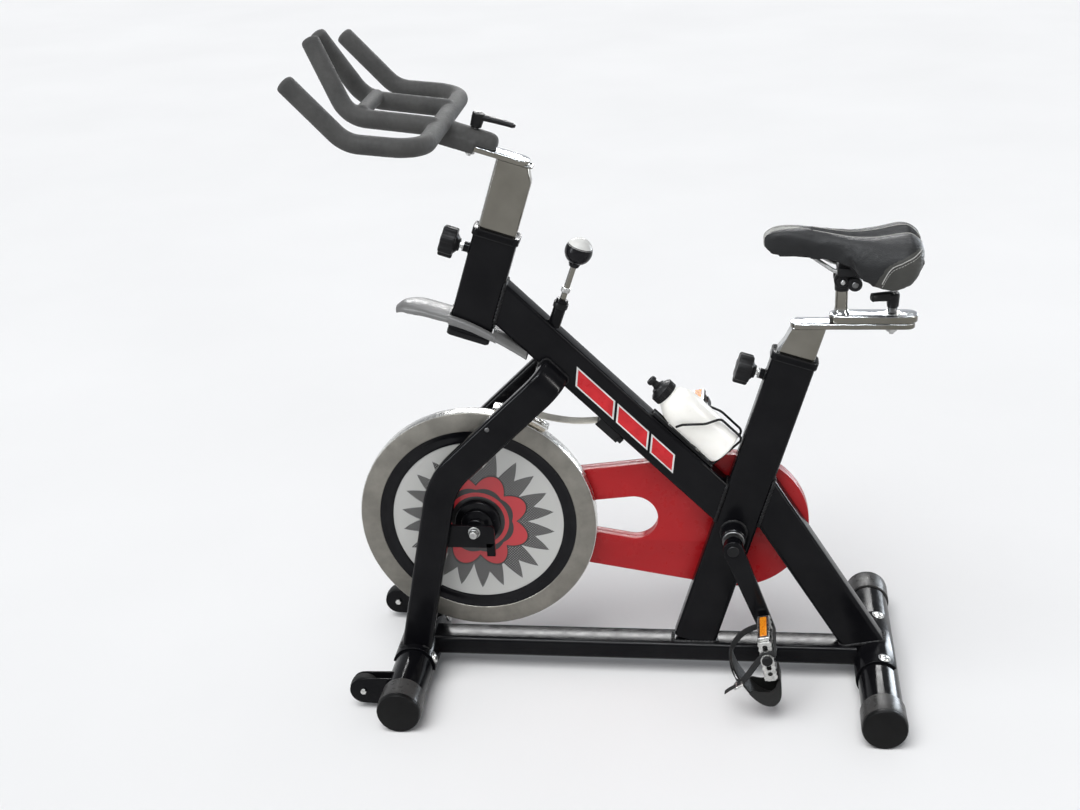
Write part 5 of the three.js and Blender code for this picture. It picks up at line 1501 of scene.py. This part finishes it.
build("saddle_piping", "saddle", seams)

# The shell under the cover, the rails and the clamp.
shell_rings = []
for x, half, _, under in STATIONS[3:-2]:
    drop = min(half * 0.38, 34)
    base = under - drop * 0.2
    shell_rings.append([Vector((x, y * half * 0.78, base + z)) for y, z in
                        ((-1, -1.5), (-0.5, 0.5), (0, 1.2), (0.5, 0.5), (1, -1.5), (1, 3), (0, 5), (-1, 3))])
build("saddle_base", "saddle", [(skin(shell_rings), UPRIGHT, PLASTIC)])

at_pivot = leaning(671.5, 812)
half_rail = [(66, 25, 28), (38, 24, 19), (-14, 24, 19), (-52, 15, 43)]
rail_line = [(x, -y, z) for x, y, z in half_rail] + half_rail[::-1]
rail_path = rounded_path(rail_line, [24, 30, 6, 6, 30, 24], 10)
rail = pipe(rail_path, 3.6, 20, (0, 1, 0), 1.5)
build("saddle_rail_wire", "saddle", [(rail, at_pivot, ZINC)], ["saddle_rails"])
cheek = round_two(0, 0, 15, 8, 16, 9.5, 20)
cup = lathe([(9.5, -22), (12.4, -22), (12.9, -10), (12.4, 10), (9.5, 10)], 36, "z")
build("saddle_clamp_body", "saddle", [(part, at_pivot, look) for part, look in (
    (slab(cheek, -17, -7, (), 1.6), PLASTIC),
    (slab(cheek, 7, 17, (), 1.6), PLASTIC),
    (moved(axes(rounded(rounded_rectangle(32, 15, 5), -30, 30, 2), "xzy"), 5.5, 0, 19), PLASTIC),
    (rod(4, -28, 28, "y", 24), ZINC),
    (moved(rod(12.5, -25, 25, "y", 40, 1.6), 21, 0, -5), PLASTIC),
    (moved(rod(5.5, -27.5, 27.5, "y", 24, 0.8), 21, 0, -5), DARK_STEEL),
    (hexagon(19, -17, -22, "y"), PLASTIC),
    (hexagon(19, 17, 22, "y"), PLASTIC),
    (cup, PLASTIC),
)], ["saddle_clamp"])

# ---------------------------------------------------------------- decoration on the main tube


def on_main(outline, lift, look):
    """A thin printed shape on the tube's near face, given as (along the tube, up across it)."""
    return skin([[(b, y, a) for a, b in outline] for y in (-19.9, -20.0 - lift)]), MAIN, look


def slanted(start, end, half, shift):
    """A slanting bar's outline, a little under the tube's middle line."""
    low, high = -half - 4, half - 4
    return [(start - shift, low), (end - shift, low), (end + shift, high), (start + shift, high)]


decal = []
for start, end in ((60, 112), (126, 198), (212, 300)):
    decal.append(on_main(slanted(start - 4, end + 4, 15, 12), 0.25, DECAL_WHITE))
    decal.append(on_main(slanted(start, end, 12.4, 10), 0.42, DECAL_RED))
build("tube_stripes", "frame", decal)

# ---------------------------------------------------------------- carried-over nodes

turned_parts = ("crank_spindle", "drive_pulley", "flywheel_pulley", "hub_bearing_left", "hub_bearing_right",
                "crank_bearing_left", "crank_bearing_right")
looks = {node: DARK_STEEL for node in turned_parts}
looks.update(head_bushing=PLASTIC, seat_bushing=PLASTIC, drive_belt=RUBBER)
for node, look in looks.items():
    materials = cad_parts[node].data.materials
    materials.clear()
    materials.append(look)

# ---------------------------------------------------------------- floor, light and camera

floor = bpy.data.meshes.new("floor")
floor.from_pydata([(-40, -40, 0), (40, -40, 0), (40, 40, 0), (-40, 40, 0)], [], [(0, 1, 2, 3)])
floor.materials.append(pale_floor())
stage = bpy.data.objects.new("floor", floor)
bpy.context.scene.collection.objects.link(stage)


def light(name, size, power, place, target, colour=(1, 1, 1)):
    lamp = bpy.data.lights.new(name, "AREA")
    lamp.shape = "RECTANGLE"
    lamp.size, lamp.size_y = size
    lamp.energy = power
    lamp.color = colour
    shown = bpy.data.objects.new(name, lamp)
    shown.location = place
    shown.rotation_euler = (Vector(target) - Vector(place)).to_track_quat("-Z", "Y").to_euler()
    shown.visible_diffuse = False
    bpy.context.scene.collection.objects.link(shown)


light("overhead_strip", (3.2, 0.12), 90, (-0.4, -1.5, 3.3), (0, 0, 0.5), (0.90, 0.95, 1))
light("overhead_far", (2.6, 0.4), 60, (0.3, 1.4, 3.2), (0, 0, 0.5), (0.95, 0.97, 1))
light("near_window", (0.4, 1.8), 60, (-2.9, -1.6, 1.9), (0, 0, 0.6), (0.93, 0.97, 1))
light("side_strip", (0.3, 2.0), 50, (3.0, -1.0, 1.7), (0, 0, 0.6), (1, 0.985, 0.96))
light("rail_strip", (2.6, 0.3), 90, (-0.25, 3.2, 2.2), (0, 0, 0.1))
light("back_window", (0.5, 1.4), 55, (2.3, 2.5, 0.75), (0.4, 0, 0.1), (0.86, 0.93, 1))
sun = bpy.data.lights.new("soft_sky", "SUN")
sun.energy = 2.35
sun.angle = math.radians(50)
sky = bpy.data.objects.new("soft_sky", sun)
sky.rotation_euler = (math.radians(24), math.radians(-14), 0)
bpy.context.scene.collection.objects.link(sky)

world = bpy.data.worlds.new("studio")
world.use_nodes = True
tree = world.node_tree
background = tree.nodes["Background"]
background.inputs[0].default_value = (0.93, 0.955, 1.0, 1)
direction = tree.nodes.new("ShaderNodeSeparateXYZ")
tree.links.new(tree.nodes.new("ShaderNodeTexCoord").outputs["Generated"], direction.inputs[0])
haze = tree.nodes.new("ShaderNodeMapRange")
for socket, value in (("From Min", 0.02), ("From Max", 0.3), ("To Min", 0.82), ("To Max", 0.40)):
    haze.inputs[socket].default_value = value
tree.links.new(direction.outputs["Z"], haze.inputs["Value"])
tree.links.new(haze.outputs["Result"], background.inputs[1])
bpy.context.scene.world = world
bpy.context.scene.view_settings.view_transform = "Standard"

# The photo's camera, from the fit: its place in millimetres and its focal length in pixels.
CAMERA_X, CAMERA_Y, CAMERA_Z = 497.3, -2582.3, 1722.7
FOCAL_PIXELS, IMAGE_WIDTH = 1541.4, 1080
lens = bpy.data.cameras.new("camera")
lens.sensor_width = 36
lens.lens = 36 * FOCAL_PIXELS / IMAGE_WIDTH
lens.clip_end = 100
camera = bpy.data.objects.new("camera", lens)
right = Vector((0.99163, 0.12079, -0.04559))
up = Vector((-0.00777, 0.40832, 0.91280))
forward = Vector((-0.12887, 0.90481, -0.40585))
place = Matrix((
    (right.x, up.x, -forward.x, (CAMERA_X - ORIGIN_X) / 1000),
    (right.y, up.y, -forward.y, CAMERA_Y / 1000),
    (right.z, up.z, -forward.z, CAMERA_Z / 1000),
    (0, 0, 0, 1),
))
camera.matrix_world = place
bpy.context.scene.collection.objects.link(camera)
bpy.context.scene.camera = camera
